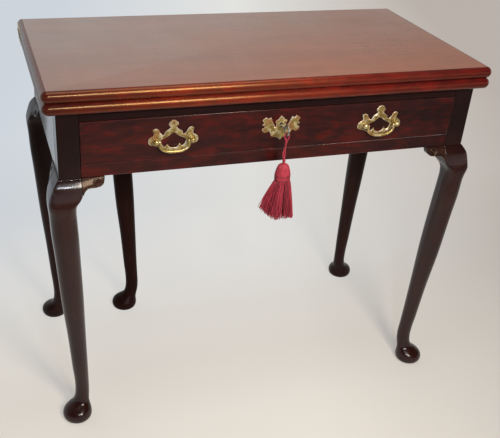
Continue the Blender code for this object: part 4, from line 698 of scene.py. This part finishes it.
def corner_leg(name, side_x, side_y, post_y):
    bm = bmesh.new()
    rings = []
    for z, high, low, out, side, squeeze in fine_stations(FRAME_TOP):
        half = (high - low) / 2
        ring = []
        corners = section(low, high, low, high, [out * half] + [side * half] * 3)
        for u, v in with_face_points(corners):
            u, v = crowned(u, v, low, high, z)
            u, v = (w + bead_at(z) * max(0.0, (w - low) / (high - low)) for w in (u, v))
            middle, across = (u + v) / 2, squeeze * (u - v) / 2
            x = FRAME_WIDTH / 2 - POST_HALF - LEANS[name] * lean_at(z) + middle + across
            y = post_y + side_y * (middle - across)
            ring.append((side_x * x, min(max(y, cad_box[0][1]), cad_box[1][1]), z))
        rings.append(ring)
    loft(bm, rings)
    # The rear legs take the darker look, which is painted shade.
    look = "upright" if side_y < 0 else "upright_back_shaded"
    piece(name + "_fine", bm, look, "frame", (name,))


def gate_leg():
    bm = bmesh.new()
    rings = []
    pad_top, rise = 0.02, 0.02
    for z, high, low, _, side, squeeze in fine_stations(GATE_TOP):
        half = (high - low) / 2
        middle = (high + low) / math.sqrt(2)
        share = min(1.0, max(0.0, (z - pad_top) / rise))
        across = half * (1 - share) + min(half * squeeze, POST_HALF) * share
        ring = section(middle - half, middle + half, -across, across,
                       [min(side * half, across)] * 4)
        rings.append([(GATE_POST_X - u, GATE_POST_Y + v, z) for u, v in ring])
    loft(bm, rings)
    piece("gate_leg_fine", bm, "upright_gate_shaded", "gate", ("gate_leg",))


def knee_reach_at(z):
    heights = [row[0] * RAIL_BOTTOM for row in SHIN_STATION_shares] + [RAIL_BOTTOM]
    reaches = [row[1] * KNEE_REACH for row in SHIN_STATION_shares] + [POST_HALF]
    return float(monotone(heights, reaches, [z])[0])


def carving_at(distance, depth, drop):
    """How deep an ear is carved at a place: a scroll, and a hollow along its lower edge."""
    centre, middle = CARVING_PLACE_share * EAR_LENGTH, 0.5 * EAR_OUTLINE_shares[5][1] * EAR_DROP
    reach = math.hypot(distance - centre, depth - middle)
    turn = math.atan2(depth - middle, distance - centre) / math.tau
    scroll = math.sin(math.pi * (reach / CARVING_PITCH + turn)) ** 2
    scroll *= min(1.0, max(0.0, 2.0 * (1.0 - reach / CARVING_REACH)))
    edge = (drop - depth) / CARVING_PITCH
    hollow = math.sin(math.pi * (edge - 0.5)) ** 2 if 0.5 < edge < 1.5 else 0.0
    hollow *= min(1.0, max(0.0, reach / CARVING_REACH - 0.9) * 4.0)
    border = min(1.0, max(0.0, depth / CARVING_BORDER - 0.8),
                 max(0.0, distance / CARVING_BORDER - 0.3),
                 max(0.0, (EAR_LENGTH - distance) / CARVING_BORDER))
    return CARVING_DEPTH * max(scroll, hollow) * border


def ear(name, side_x, side_y, along_side):
    """The carved block beside a knee, under the front rail or under a side rail."""
    bm = bmesh.new()
    top = RAIL_BOTTOM - GAP
    post_y = -(FRAME_FRONT + POST_HALF) if side_y < 0 else FRAME_BACK - POST_HALF
    frame_y = -FRAME_FRONT if side_y < 0 else FRAME_BACK
    shares = np.array(EAR_OUTLINE_shares)
    table_z = np.linspace(RAIL_BOTTOM - EAR_DROP, RAIL_BOTTOM, 120)
    table_reach = [knee_reach_at(z) - POST_HALF for z in table_z]
    samples = np.linspace(0.0, 1.0, 110)
    drops = monotone(shares[:, 0], shares[:, 1], samples)
    rings = []
    for distance_share, drop_share in zip(samples, drops):
        distance = GAP + distance_share * EAR_LENGTH
        drop = drop_share * EAR_DROP
        fade = 1.0 - EAR_FADE_share * distance_share
        column = []
        for depth in np.concatenate([np.linspace(0.0, 2 * KNEE_BEAD, 9),
                                     np.linspace(2.2 * KNEE_BEAD, drop, 34)]):
            z = top - depth
            proud = fade * np.interp(z, table_z, table_reach) + bead_at(z)
            column.append((distance, proud - carving_at(distance, depth, drop), z))
        column.append((distance, -EAR_DEPTH, top - drop))
        column.append((distance, -EAR_DEPTH, top))
        if along_side:
            rings.append([(side_x * (FRAME_WIDTH / 2 + b), side_y * (post_y - POST_HALF - a), z)
                          for a, b, z in column])
        else:
            rings.append([(side_x * (POST_INNER_X - a), side_y * (frame_y + b), z)
                          for a, b, z in column])
    loft(bm, rings)
    piece(name + "_fine", bm, "ear", "frame", (name,))


for side_x, hand in HANDS:
    corner_leg(f"leg_front_{hand}", side_x, -1, FRAME_FRONT + POST_HALF)
    corner_leg(f"leg_rear_{hand}", side_x, 1, FRAME_BACK - POST_HALF)
    ear(f"ear_front_{hand}_front", side_x, -1, False)
    ear(f"ear_front_{hand}_side", side_x, -1, True)
    ear(f"ear_rear_{hand}_side", side_x, 1, True)
gate_leg()


# The cock bead

def cock_bead():
    bm = bmesh.new()
    back, front, steps = FRAME_FRONT + BEAD_DEPTH, FRAME_FRONT - BEAD_PROUD, 10
    profile = [(0.0, back)]
    for step in range(steps + 1):
        angle = math.pi * step / steps
        profile.append((BEAD_WIDTH / 2 * (1 - math.cos(angle)),
                        front + BEAD_NOSE * (1 - math.sin(angle))))
    profile.append((BEAD_WIDTH, back))
    corners = []
    for sx, sz in ((-1, -1), (1, -1), (1, 1), (-1, 1)):
        edge_z = DRAWER_BOTTOM if sz < 0 else DRAWER_TOP
        corners.append([(sx * (DRAWER_HALF - inset), y, edge_z - sz * inset)
                        for inset, y in profile])
    loft(bm, corners, closed=True)
    piece("cock_bead_fine", bm, "drawer", "drawer", ("drawer_cock_bead",),
          60.0)


cock_bead()


# Brasses

def smooth_loop(points, steps=8):
    """A closed smooth curve through points, with a corner at each that is marked 1."""
    count = len(points)
    slopes = []
    for i, (_, _, sharp) in enumerate(points):
        before, after = points[i - 1], points[(i + 1) % count]
        share = 0.0 if sharp else 0.5
        slopes.append((share * (after[0] - before[0]), share * (after[1] - before[1])))
    curve = []
    for i in range(count):
        start, end = points[i], points[(i + 1) % count]
        leave, arrive = slopes[i], slopes[(i + 1) % count]
        for step in range(steps):
            curve.append(tuple(
                between_points(step / steps, start[k], end[k], leave[k], arrive[k])
                for k in range(2)
            ))
    return curve


def mirrored_outline(half, half_width, half_height):
    left = [(a * half_width, b * half_height, sharp) for a, b, sharp in half]
    right = [(-a, b, sharp) for a, b, sharp in reversed(left[1:-1])]
    return smooth_loop(left + right)


def circle(radius, sides):
    return [(radius * math.cos(math.tau * i / sides), radius * math.sin(math.tau * i / sides))
            for i in range(sides)]


def inset_loop(loop, amount):
    """Move a loop's points inwards along their normals."""
    area = sum(a[0] * b[1] - b[0] * a[1] for a, b in zip(loop, loop[1:] + loop[:1]))
    sense = 1.0 if area > 0 else -1.0
    result = []
    count = len(loop)
    for i in range(count):
        before, after = loop[i - 1], loop[(i + 1) % count]
        dx, dy = after[0] - before[0], after[1] - before[1]
        length = math.hypot(dx, dy) or 1.0
        result.append((loop[i][0] - sense * dy / length * amount,
                       loop[i][1] + sense * dx / length * amount))
    return result


def pierced_plate(name, outline, holes, centre):
    """A brass plate on the drawer's front. Its bevelled edges are a pale brass: painted
    highlight.
    """
    bm = bmesh.new()
    back, bevel = FRAME_FRONT - GAP, PLATE_BEVEL
    front = back - PLATE_THICKNESS
    inner = [inset_loop(outline, bevel)] + [inset_loop(hole, -bevel) for hole in holes]
    outer = [outline] + holes
    triangles = tessellate_polygon([[Vector((a, b, 0.0)) for a, b in loop] for loop in inner])
    def layer(loops, y):
        return [[bm.verts.new((centre[0] + a, y, centre[1] + b)) for a, b in loop]
                for loop in loops]
    faces_front = layer(inner, front)
    rim = layer(outer, front + bevel)
    rim_back = layer(outer, back)
    flat_front = [v for loop in faces_front for v in loop]
    flat_back = [v for loop in rim_back for v in loop]
    for i, j, k in triangles:
        bm.faces.new((flat_front[i], flat_front[j], flat_front[k]))
        bm.faces.new((flat_back[k], flat_back[j], flat_back[i]))
    for first, second in ((faces_front, rim), (rim, rim_back)):
        for a_loop, b_loop in zip(first, second):
            for i in range(len(a_loop)):
                j = (i + 1) % len(a_loop)
                face = bm.faces.new((a_loop[i], a_loop[j], b_loop[j], b_loop[i]))
                # The bevels take the pale brass: painted highlight.
                face.material_index = 1
    piece(name + "_fine", bm, "brass", "drawer", (name,), second="rim_highlight_brass")


def turned(bm, profile, start, direction, sides=32):
    """A turned solid along a direction, from a profile of (radius, distance)."""
    turn = Vector(direction).to_track_quat("Z", "Y").to_matrix()
    rings = []
    for radius, distance in profile:
        rings.append([Vector(start) + turn @ Vector((a, b, distance))
                      for a, b in circle(radius, sides)])
    loft(bm, rings)


def smooth_profile(shares, across, along, count):
    """A turned profile on a smooth curve through its table."""
    table = np.array(shares)
    at = np.linspace(table[0, 1], table[-1, 1], count)
    radii = monotone(table[:, 1], table[:, 0], at)
    return [(radius * across, place * along) for radius, place in zip(radii, at)]


def backplate(hand, centre_x):
    outline = mirrored_outline(BACKPLATE_shares, PLATE_HALF_WIDTH, PLATE_HALF_HEIGHT)
    opening = mirrored_outline(BACKPLATE_OPENING_shares, PLATE_HALF_WIDTH, PLATE_HALF_HEIGHT)
    pierced_plate(f"backplate_{hand}", outline, [opening], (centre_x, HANDLE_HEIGHT))


def boss(hand, end, x):
    bm = bmesh.new()
    collar = BOSS_PROUD - PLATE_THICKNESS - 2 * GAP
    shank_end = BOSS_PROUD + DRAWER_FRONT_THICKNESS + POST_SHANK_SPARE + 2 * GAP
    profile = [(BOSS_RADIUS * a, BOSS_RADIUS * b) for a, b in ((0.06, -1.0), (0.14, -0.995))]
    profile += smooth_profile(BOSS_shares, BOSS_RADIUS, BOSS_RADIUS, 30)
    profile += [(profile[-1][0], collar), (POST_SHANK_RADIUS, collar),
                (POST_SHANK_RADIUS, shank_end)]
    turned(bm, profile, (x, BOSS_Y, HANDLE_HEIGHT), (0, 1, 0))
    name = f"handle_post_{hand}_{end}"
    piece(name + "_fine", bm, "brass", "drawer", (name,))


def smooth_path(path, steps):
    """More points on a smooth curve through a path of (point, radius)."""
    result = []
    for i in range(len(path) - 1):
        ends = [path[min(max(i + k, 0), len(path) - 1)] for k in (-1, 0, 1, 2)]
        values = [(*point, radius) for point, radius in ends]
        for step in range(steps):
            t = step / steps
            row = [
                0.5 * (2 * b + (c - a) * t + (2 * a - 5 * b + 4 * c - d) * t**2
                       + (3 * b - a - 3 * c + d) * t**3)
                for a, b, c, d in zip(*values)
            ]
            result.append((Vector(row[:3]), row[3]))
    return result + [path[-1]]


def tube(bm, path, sides=20):
    """A round rod of changing radius along a path of (point, radius)."""
    rings = []
    for i, (point, radius) in enumerate(path):
        before, after = path[max(i - 1, 0)][0], path[min(i + 1, len(path) - 1)][0]
        along = (after - before).normalized()
        side = along.cross(Vector((0.0, 1.0, 0.0))).normalized()
        other = side.cross(along)
        rings.append([point + (side * a + other * b) * radius for a, b in circle(1.0, sides)])
    loft(bm, rings)


def bail(hand, centre_x):
    half = BOSS_SPACING / 2
    face = half - BOSS_RADIUS - 2 * GAP
    nodes = [(a * half, b * BAIL_DROP, size * BAIL_ROD_RADIUS) for a, b, size in BAIL_PATH_shares]
    nodes.append((face - BAIL_TIP_RADIUS, -BAIL_DROP * 0.02, BAIL_TIP_RADIUS * 1.25))
    nodes.append((face, 0.0, BAIL_TIP_RADIUS))
    nodes.append((face + BAIL_TIP_DEPTH, 0.0, BAIL_TIP_RADIUS))
    whole = [(-a, b, size) for a, b, size in reversed(nodes[1:])] + nodes
    path = [(Vector((centre_x + a, BOSS_Y, HANDLE_HEIGHT + b)), size) for a, b, size in whole]
    bm = bmesh.new()
    tube(bm, smooth_path(path, 6))
    piece(f"bail_{hand}_fine", bm, "brass", f"bail_{hand}_body", (f"bail_{hand}",))


for side, hand in HANDS:
    middle = FITTINGS_X + side * HANDLE_X
    backplate(hand, middle)
    for end_side, end in HANDS:
        boss(hand, end, middle + end_side * BOSS_SPACING / 2)
    bail(hand, middle)


def escutcheon():
    outline = mirrored_outline(ESCUTCHEON_shares, ESCUTCHEON_HALF_WIDTH, ESCUTCHEON_HALF_HEIGHT)
    pierced_plate("escutcheon", outline, [circle(KEYHOLE_RADIUS, 24)], (KEY_X, KEYHOLE_HEIGHT))


escutcheon()


def round_ring(bm, radius, rod, around, across, place):
    """A closed ring of round rod. Its points are set down by place(a, b, along the axis)."""
    rings = []
    for turn_a, turn_b in circle(1.0, around):
        rings.append([place((radius + a) * turn_a, (radius + a) * turn_b, b)
                      for a, b in circle(rod, across)])
    loft(bm, rings, closed=True)


def key():
    bm = bmesh.new()
    bow_edge = KEY_BOW_Y + KEY_BOW_RADIUS
    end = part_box("key")[1][1]
    profile = [(KEY_SHAFT_RADIUS, 0.0), (KEY_SHAFT_RADIUS, end - bow_edge)]
    turned(bm, profile, (KEY_X, bow_edge, KEYHOLE_HEIGHT), (0, 1, 0), 20)
    round_ring(bm, KEY_BOW_RADIUS, KEY_BOW_ROD_RADIUS, 56, 18,
               lambda a, b, c: (KEY_X + c, KEY_BOW_Y + a, KEYHOLE_HEIGHT + b))
    collar_radius, collar_start, collar_width, slope = 0.0034, 0.0035, 0.0026, 0.0006
    collar = [(KEY_SHAFT_RADIUS, 0.0), (collar_radius, slope),
              (collar_radius, collar_width - slope), (KEY_SHAFT_RADIUS, collar_width)]
    turned(bm, collar, (KEY_X, bow_edge + collar_start, KEYHOLE_HEIGHT), (0, 1, 0), 20)
    bit_front = FRAME_FRONT + DRAWER_FRONT_THICKNESS - LOCK_THICKNESS + BOLT_SETBACK
    bit = bmesh.ops.create_cube(bm, size=1.0)["verts"]
    bmesh.ops.scale(bm, verts=bit, vec=(KEY_BIT_WIDTH, KEY_BIT_LENGTH, KEY_BIT_REACH))
    bmesh.ops.translate(bm, verts=bit, vec=(KEY_X, bit_front + KEY_BIT_LENGTH / 2,
                                            KEYHOLE_HEIGHT - KEY_BIT_REACH / 2))
    piece("key_fine", bm, "steel", "key_body", ("key",))


key()


# Tassel

def second_look(bm, first):
    """Give the faces from a number on the piece's second look."""
    bm.faces.ensure_lookup_table()
    for face in bm.faces[first:]:
        face.material_index = 1


def tassel_head():
    """A ribbed head, flattened front to back, with three cords bound round it."""
    bm = bmesh.new()
    profile = smooth_profile(TASSEL_HEAD_shares, TASSEL_HEAD_RADIUS, TASSEL_HEAD_HEIGHT, 36)
    sides, ribs, ripple_depth, twist = 160, 30, 0.06, 9.0
    flat = TASSEL_SKIRT_HALF_DEPTH / TASSEL_HEAD_RADIUS
    rings = []
    for radius, depth in profile:
        ring = []
        for i in range(sides):
            angle = math.tau * i / sides
            ripple = 1.0 - ripple_depth * abs(math.sin(ribs / 2 * (angle + depth * twist)))
            ring.append((KEY_X + radius * ripple * math.cos(angle),
                         KEY_BOW_Y + flat * radius * ripple * math.sin(angle),
                         TASSEL_HEAD_TOP - depth))
        rings.append(ring)
    loft(bm, rings)
    head_faces = len(bm.faces)
    for share, rod in ((0.69, 0.0009), (0.75, 0.0007), (0.95, 0.0010)):
        level = TASSEL_HEAD_TOP - share * TASSEL_HEAD_HEIGHT
        round_ring(bm, TASSEL_HEAD_RADIUS * 0.99 - rod, rod, 64, 8,
                   lambda a, b, c: (KEY_X + a, KEY_BOW_Y + flat * b, level + c))
    second_look(bm, head_faces)
    piece("tassel_head_fine", bm, "silk", "tassel", ("tassel_head",), second="dark_silk")


def tassel_skirt():
    """Many separate strands that fan out from the binding to their own ends."""
    rng = np.random.default_rng(7)
    bm = bmesh.new()
    top = TASSEL_HEAD_TOP - TASSEL_HEAD_HEIGHT - GAP
    ends = np.array(STRAND_END_shares)
    binding_middle = (BINDING_LEFT_share + BINDING_RIGHT_share) / 2
    binding_half = (BINDING_RIGHT_share - BINDING_LEFT_share) / 2
    golden = math.pi * (3 - math.sqrt(5))
    count, steps = 400, 9
    for index in range(count):
        reach = math.sqrt((index + 0.5) / count)
        angle = index * golden + 0.10 * math.sin(5.0 * index * golden)
        across, deep = reach * math.cos(angle), reach * math.sin(angle)
        end_x = np.interp(across, ends[:, 0], ends[:, 1]) * TASSEL_SKIRT_HALF_WIDTH
        length = np.interp(across, ends[:, 0], ends[:, 2]) * TASSEL_SKIRT_LENGTH
        length *= 1.0 - 0.09 * rng.random() ** 2
        end_x += STRAND_SPREAD * rng.standard_normal()
        start_x = (binding_middle + binding_half * across) * TASSEL_SKIRT_HALF_WIDTH
        wave, turn = STRAND_WAVE * rng.standard_normal(), rng.random() * math.tau
        rings = []
        for step in range(steps + 1):
            share = step / steps
            x = KEY_X + start_x + (end_x - start_x) * share ** 0.78
            x += wave * share * math.sin(turn + 7.0 * share)
            half_depth = (TASSEL_SKIRT_HALF_DEPTH - 2 * STRAND_RADIUS) * (0.86 + 0.14 * share)
            y = KEY_BOW_Y + deep * half_depth
            size = STRAND_RADIUS * (1.0 - 0.3 * share)
            rings.append([(x + a, y + b, top - length * share) for a, b in circle(size, 6)])
        before = len(bm.faces)
        loft(bm, rings)
        if rng.random() < 0.22:
            second_look(bm, before)
    piece("tassel_skirt_fine", bm, "silk", "tassel", ("tassel_skirt",), 80.0,
          "dark_silk")


def tassel_loop():
    """The loop of thin cord that hangs on the key's bow, and the strand beside the cord."""
    bm = bmesh.new()
    # The loop is loose enough for the bow to turn inside it about the place where it hangs.
    slack = KEY_BOW_ROD_RADIUS + GAP
    reach = KEY_BOW_ROD_RADIUS + 0.71 * slack + LOOP_YARN_RADIUS + GAP
    path = []
    for a, b in ((-0.14, -3.0), (-0.45, -1.8), (-0.92, -0.75), (-0.98, 0.2), (-0.6, 0.8),
                 (0.0, 1.0), (0.6, 0.8), (0.98, 0.2), (0.92, -0.75), (0.45, -1.8), (0.14, -3.0)):
        place = (KEY_X + slack / 2 + a * reach, KEY_BOW_Y, TASSEL_HANG_Z + slack / 2 + b * reach)
        path.append((Vector(place), LOOP_YARN_RADIUS))
    tube(bm, smooth_path(path, 5), 12)
    # The second strand: its lower end, its length, and how far it bulges and stands aside
    low, length, bulge, side, near = TASSEL_HEAD_TOP + 0.0075, 0.024, 0.0034, 0.0004, 0.0006
    path = []
    for share, out in ((0.0, 0.0), (0.18, 0.5), (0.42, 1.0), (0.70, 0.85), (0.90, 0.35),
                       (1.0, 0.0)):
        place = (KEY_X - bulge * out - side, KEY_BOW_Y - near, low + length * (1 - share))
        path.append((Vector(place), SIDE_YARN_RADIUS))
    tube(bm, smooth_path(path, 6), 12)
    knot_radius, knot_rise = 0.0031, TASSEL_HEAD_TOP + 0.0052
    profile = [(0.0008, -0.0042), (0.0026, -0.0030), (knot_radius, 0.0), (0.0026, 0.0030),
               (0.0008, 0.0042)]
    turned(bm, profile, (KEY_X, KEY_BOW_Y, knot_rise), (0, 0, 1), 16)
    return piece("tassel_loop_fine", bm, "silk", "tassel")


def tassel_cord():
    loop = tassel_loop()
    curve = bpy.data.curves.new("tassel_cord_fine", "CURVE")
    curve.dimensions = "3D"
    curve.bevel_depth = CORD_RADIUS
    curve.bevel_resolution = 4
    curve.use_fill_caps = True
    spline = curve.splines.new("POLY")
    count = 24
    spline.points.add(count - 1)
    start = Vector((KEY_X, KEY_BOW_Y, TASSEL_HANG_Z - KEY_BOW_ROD_RADIUS))
    end = Vector((KEY_X, KEY_BOW_Y, CORD_END_Z))
    for i in range(count):
        spline.points[i].co = (*start.lerp(end, i / (count - 1)), 1.0)
    spline.points[0].radius = 0.35
    curve.materials.append(LOOKS["silk"])
    obj = new_object("tassel_cord_fine", curve)
    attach(obj, "tassel")
    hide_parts("tassel_cord")


tassel_head()
tassel_skirt()
tassel_cord()


# Floor, light and air

def seen_ray(n):
    """1 for the rays that show a background: from the camera, in gloss and through glass."""
    path = n.add("LightPath")
    share = n.maths("MAXIMUM", path.outputs["Is Camera Ray"], path.outputs["Is Glossy Ray"])
    return n.maths("MAXIMUM", share, path.outputs["Is Transmission Ray"])


def floor():
    """Pale paper. For camera and gloss rays it shines with painted light, most far behind the
    table, cooler on the left and dimmer on the right and at the front, like a lit backdrop.
    """
    bm = bmesh.new()
    half_width = 12.0
    bmesh.ops.create_grid(bm, x_segments=1, y_segments=1, size=half_width)
    mesh = bpy.data.meshes.new("floor")
    bm.to_mesh(mesh)
    bm.free()
    n = Nodes("pale_floor_painted_light")
    place = n.add("SeparateXYZ", Vector=n.add("TexCoord").outputs["Object"])
    soft = n.noise(n.coords((1.2,) * 3), 2.0, 0.5)
    colour = n.ramp(soft, [(0.3, (0.80, 0.775, 0.735)), (0.7, (0.83, 0.81, 0.78))])
    n.finish(Base_Color=colour, Roughness=0.8)
    # The shining colours are painted light: cool on the left, dimmer on the right and in front.
    slanted = n.maths("SUBTRACT", place.outputs["X"], n.times(place.outputs["Y"], 0.30))
    sideways = n.remap(slanted, -0.9, 1.3)
    back = n.ramp(sideways, [(0.0, (0.63, 0.68, 0.74)), (0.45, (0.79, 0.79, 0.77)),
                             (0.78, (0.62, 0.58, 0.54)), (1.0, (0.50, 0.45, 0.41))])
    front = n.ramp(n.remap(place.outputs["Y"], -0.8, 0.3),
                   [(0.0, (0.72, 0.66, 0.57)), (0.5, (0.90, 0.85, 0.77)),
                    (1.0, (0.78, 0.77, 0.75))])
    front = n.mix(n.remap(sideways, 0.50, 0.86), front, (0.44, 0.40, 0.36, 1.0))
    near = n.remap(place.outputs["Y"], 0.1, 0.7)
    painted_light_emission = n.add("Emission", Color=n.mix(near, front, back), Strength=1.0)
    # Painted light takes over further back and hides the table's shadow there.
    depth = n.remap(place.outputs["Y"], -1.25, 1.25)
    far = n.ramp(depth, [(0.0, (0.0,) * 3), (0.16, (0.38,) * 3), (0.44, (0.40,) * 3),
                         (0.62, (0.76,) * 3), (1.0, (0.96,) * 3)])
    share = n.times(far, seen_ray(n))
    blend = n.add("MixShader", Fac=share)
    n.put(blend, 1, n.shader.outputs["BSDF"])
    n.put(blend, 2, painted_light_emission.outputs["Emission"])
    n.put(n.tree.nodes["Material Output"], "Surface", blend.outputs["Shader"])
    mesh.materials.append(n.material)
    obj = new_object("floor", mesh)


def area_light(name, place, target, size, power, colour, spread):
    data = bpy.data.lights.new(name, "AREA")
    data.shape = "RECTANGLE"
    data.size, data.size_y = size
    data.energy = power
    data.color = colour
    data.spread = math.radians(spread)
    lamp = new_object(name, data)
    lamp.location = place
    lamp.rotation_euler = (Vector(target) - Vector(place)).to_track_quat("-Z", "Y").to_euler()


class WorldNodes(Nodes):
    """The same helpers for the world's nodes."""

    def __init__(self, world):
        self.tree = world.node_tree
        self.shader = self.tree.nodes["Background"]


def surroundings():
    """A pale room that is bright behind the table and dimmer in front and overhead."""
    world = bpy.data.worlds.new("studio")
    world.use_nodes = True
    n = WorldNodes(world)
    way = n.add("SeparateXYZ", Vector=n.add("TexCoord").outputs["Generated"])
    def step(axis, *limits):
        return n.remap(way.outputs[axis], *limits, kind="SMOOTHSTEP")
    level = step("Y", -0.25, 0.65, 0.16, 0.92)
    level = n.times(level, step("Z", 0.22, 0.50, 1.0, 0.55))
    level = n.times(level, step("Z", 0.50, 0.95, 1.0, 0.45))
    level = n.times(level, step("X", 0.10, 0.66, 1.0, 0.25))
    shown = n.times(seen_ray(n), step("Z", 0.18, 0.26, 0.82, 0.0))
    level = n.maths("MAXIMUM", level, shown)
    tone = n.ramp(n.remap(way.outputs["X"], -0.5, 0.8),
                  [(0.0, (0.90, 0.96, 1.0)), (0.5, (0.99, 0.99, 0.98)),
                   (1.0, (1.0, 0.94, 0.87))])
    n.put(n.shader, "Color", tone)
    n.put(n.shader, "Strength", level)
    bpy.context.scene.world = world


floor()
surroundings()
area_light("key_light", (0.18, -1.60, 1.52), (0.0, 0.05, 0.45), (0.40, 0.55), 8.5,
           (1.0, 0.88, 0.74), 95.0)
area_light("overhead_light", (0.0, -0.10, 2.40), (0.0, 0.0, 0.70), (1.60, 1.00), 7.0,
           (1.0, 0.95, 0.90), 110.0)
area_light("camera_light", (-0.27, -1.43, 1.42), (0.0, 0.10, 0.40), (0.10, 0.07), 2.6,
           (0.84, 0.92, 1.0), 100.0)

bpy.context.scene.view_settings.view_transform = "Standard"
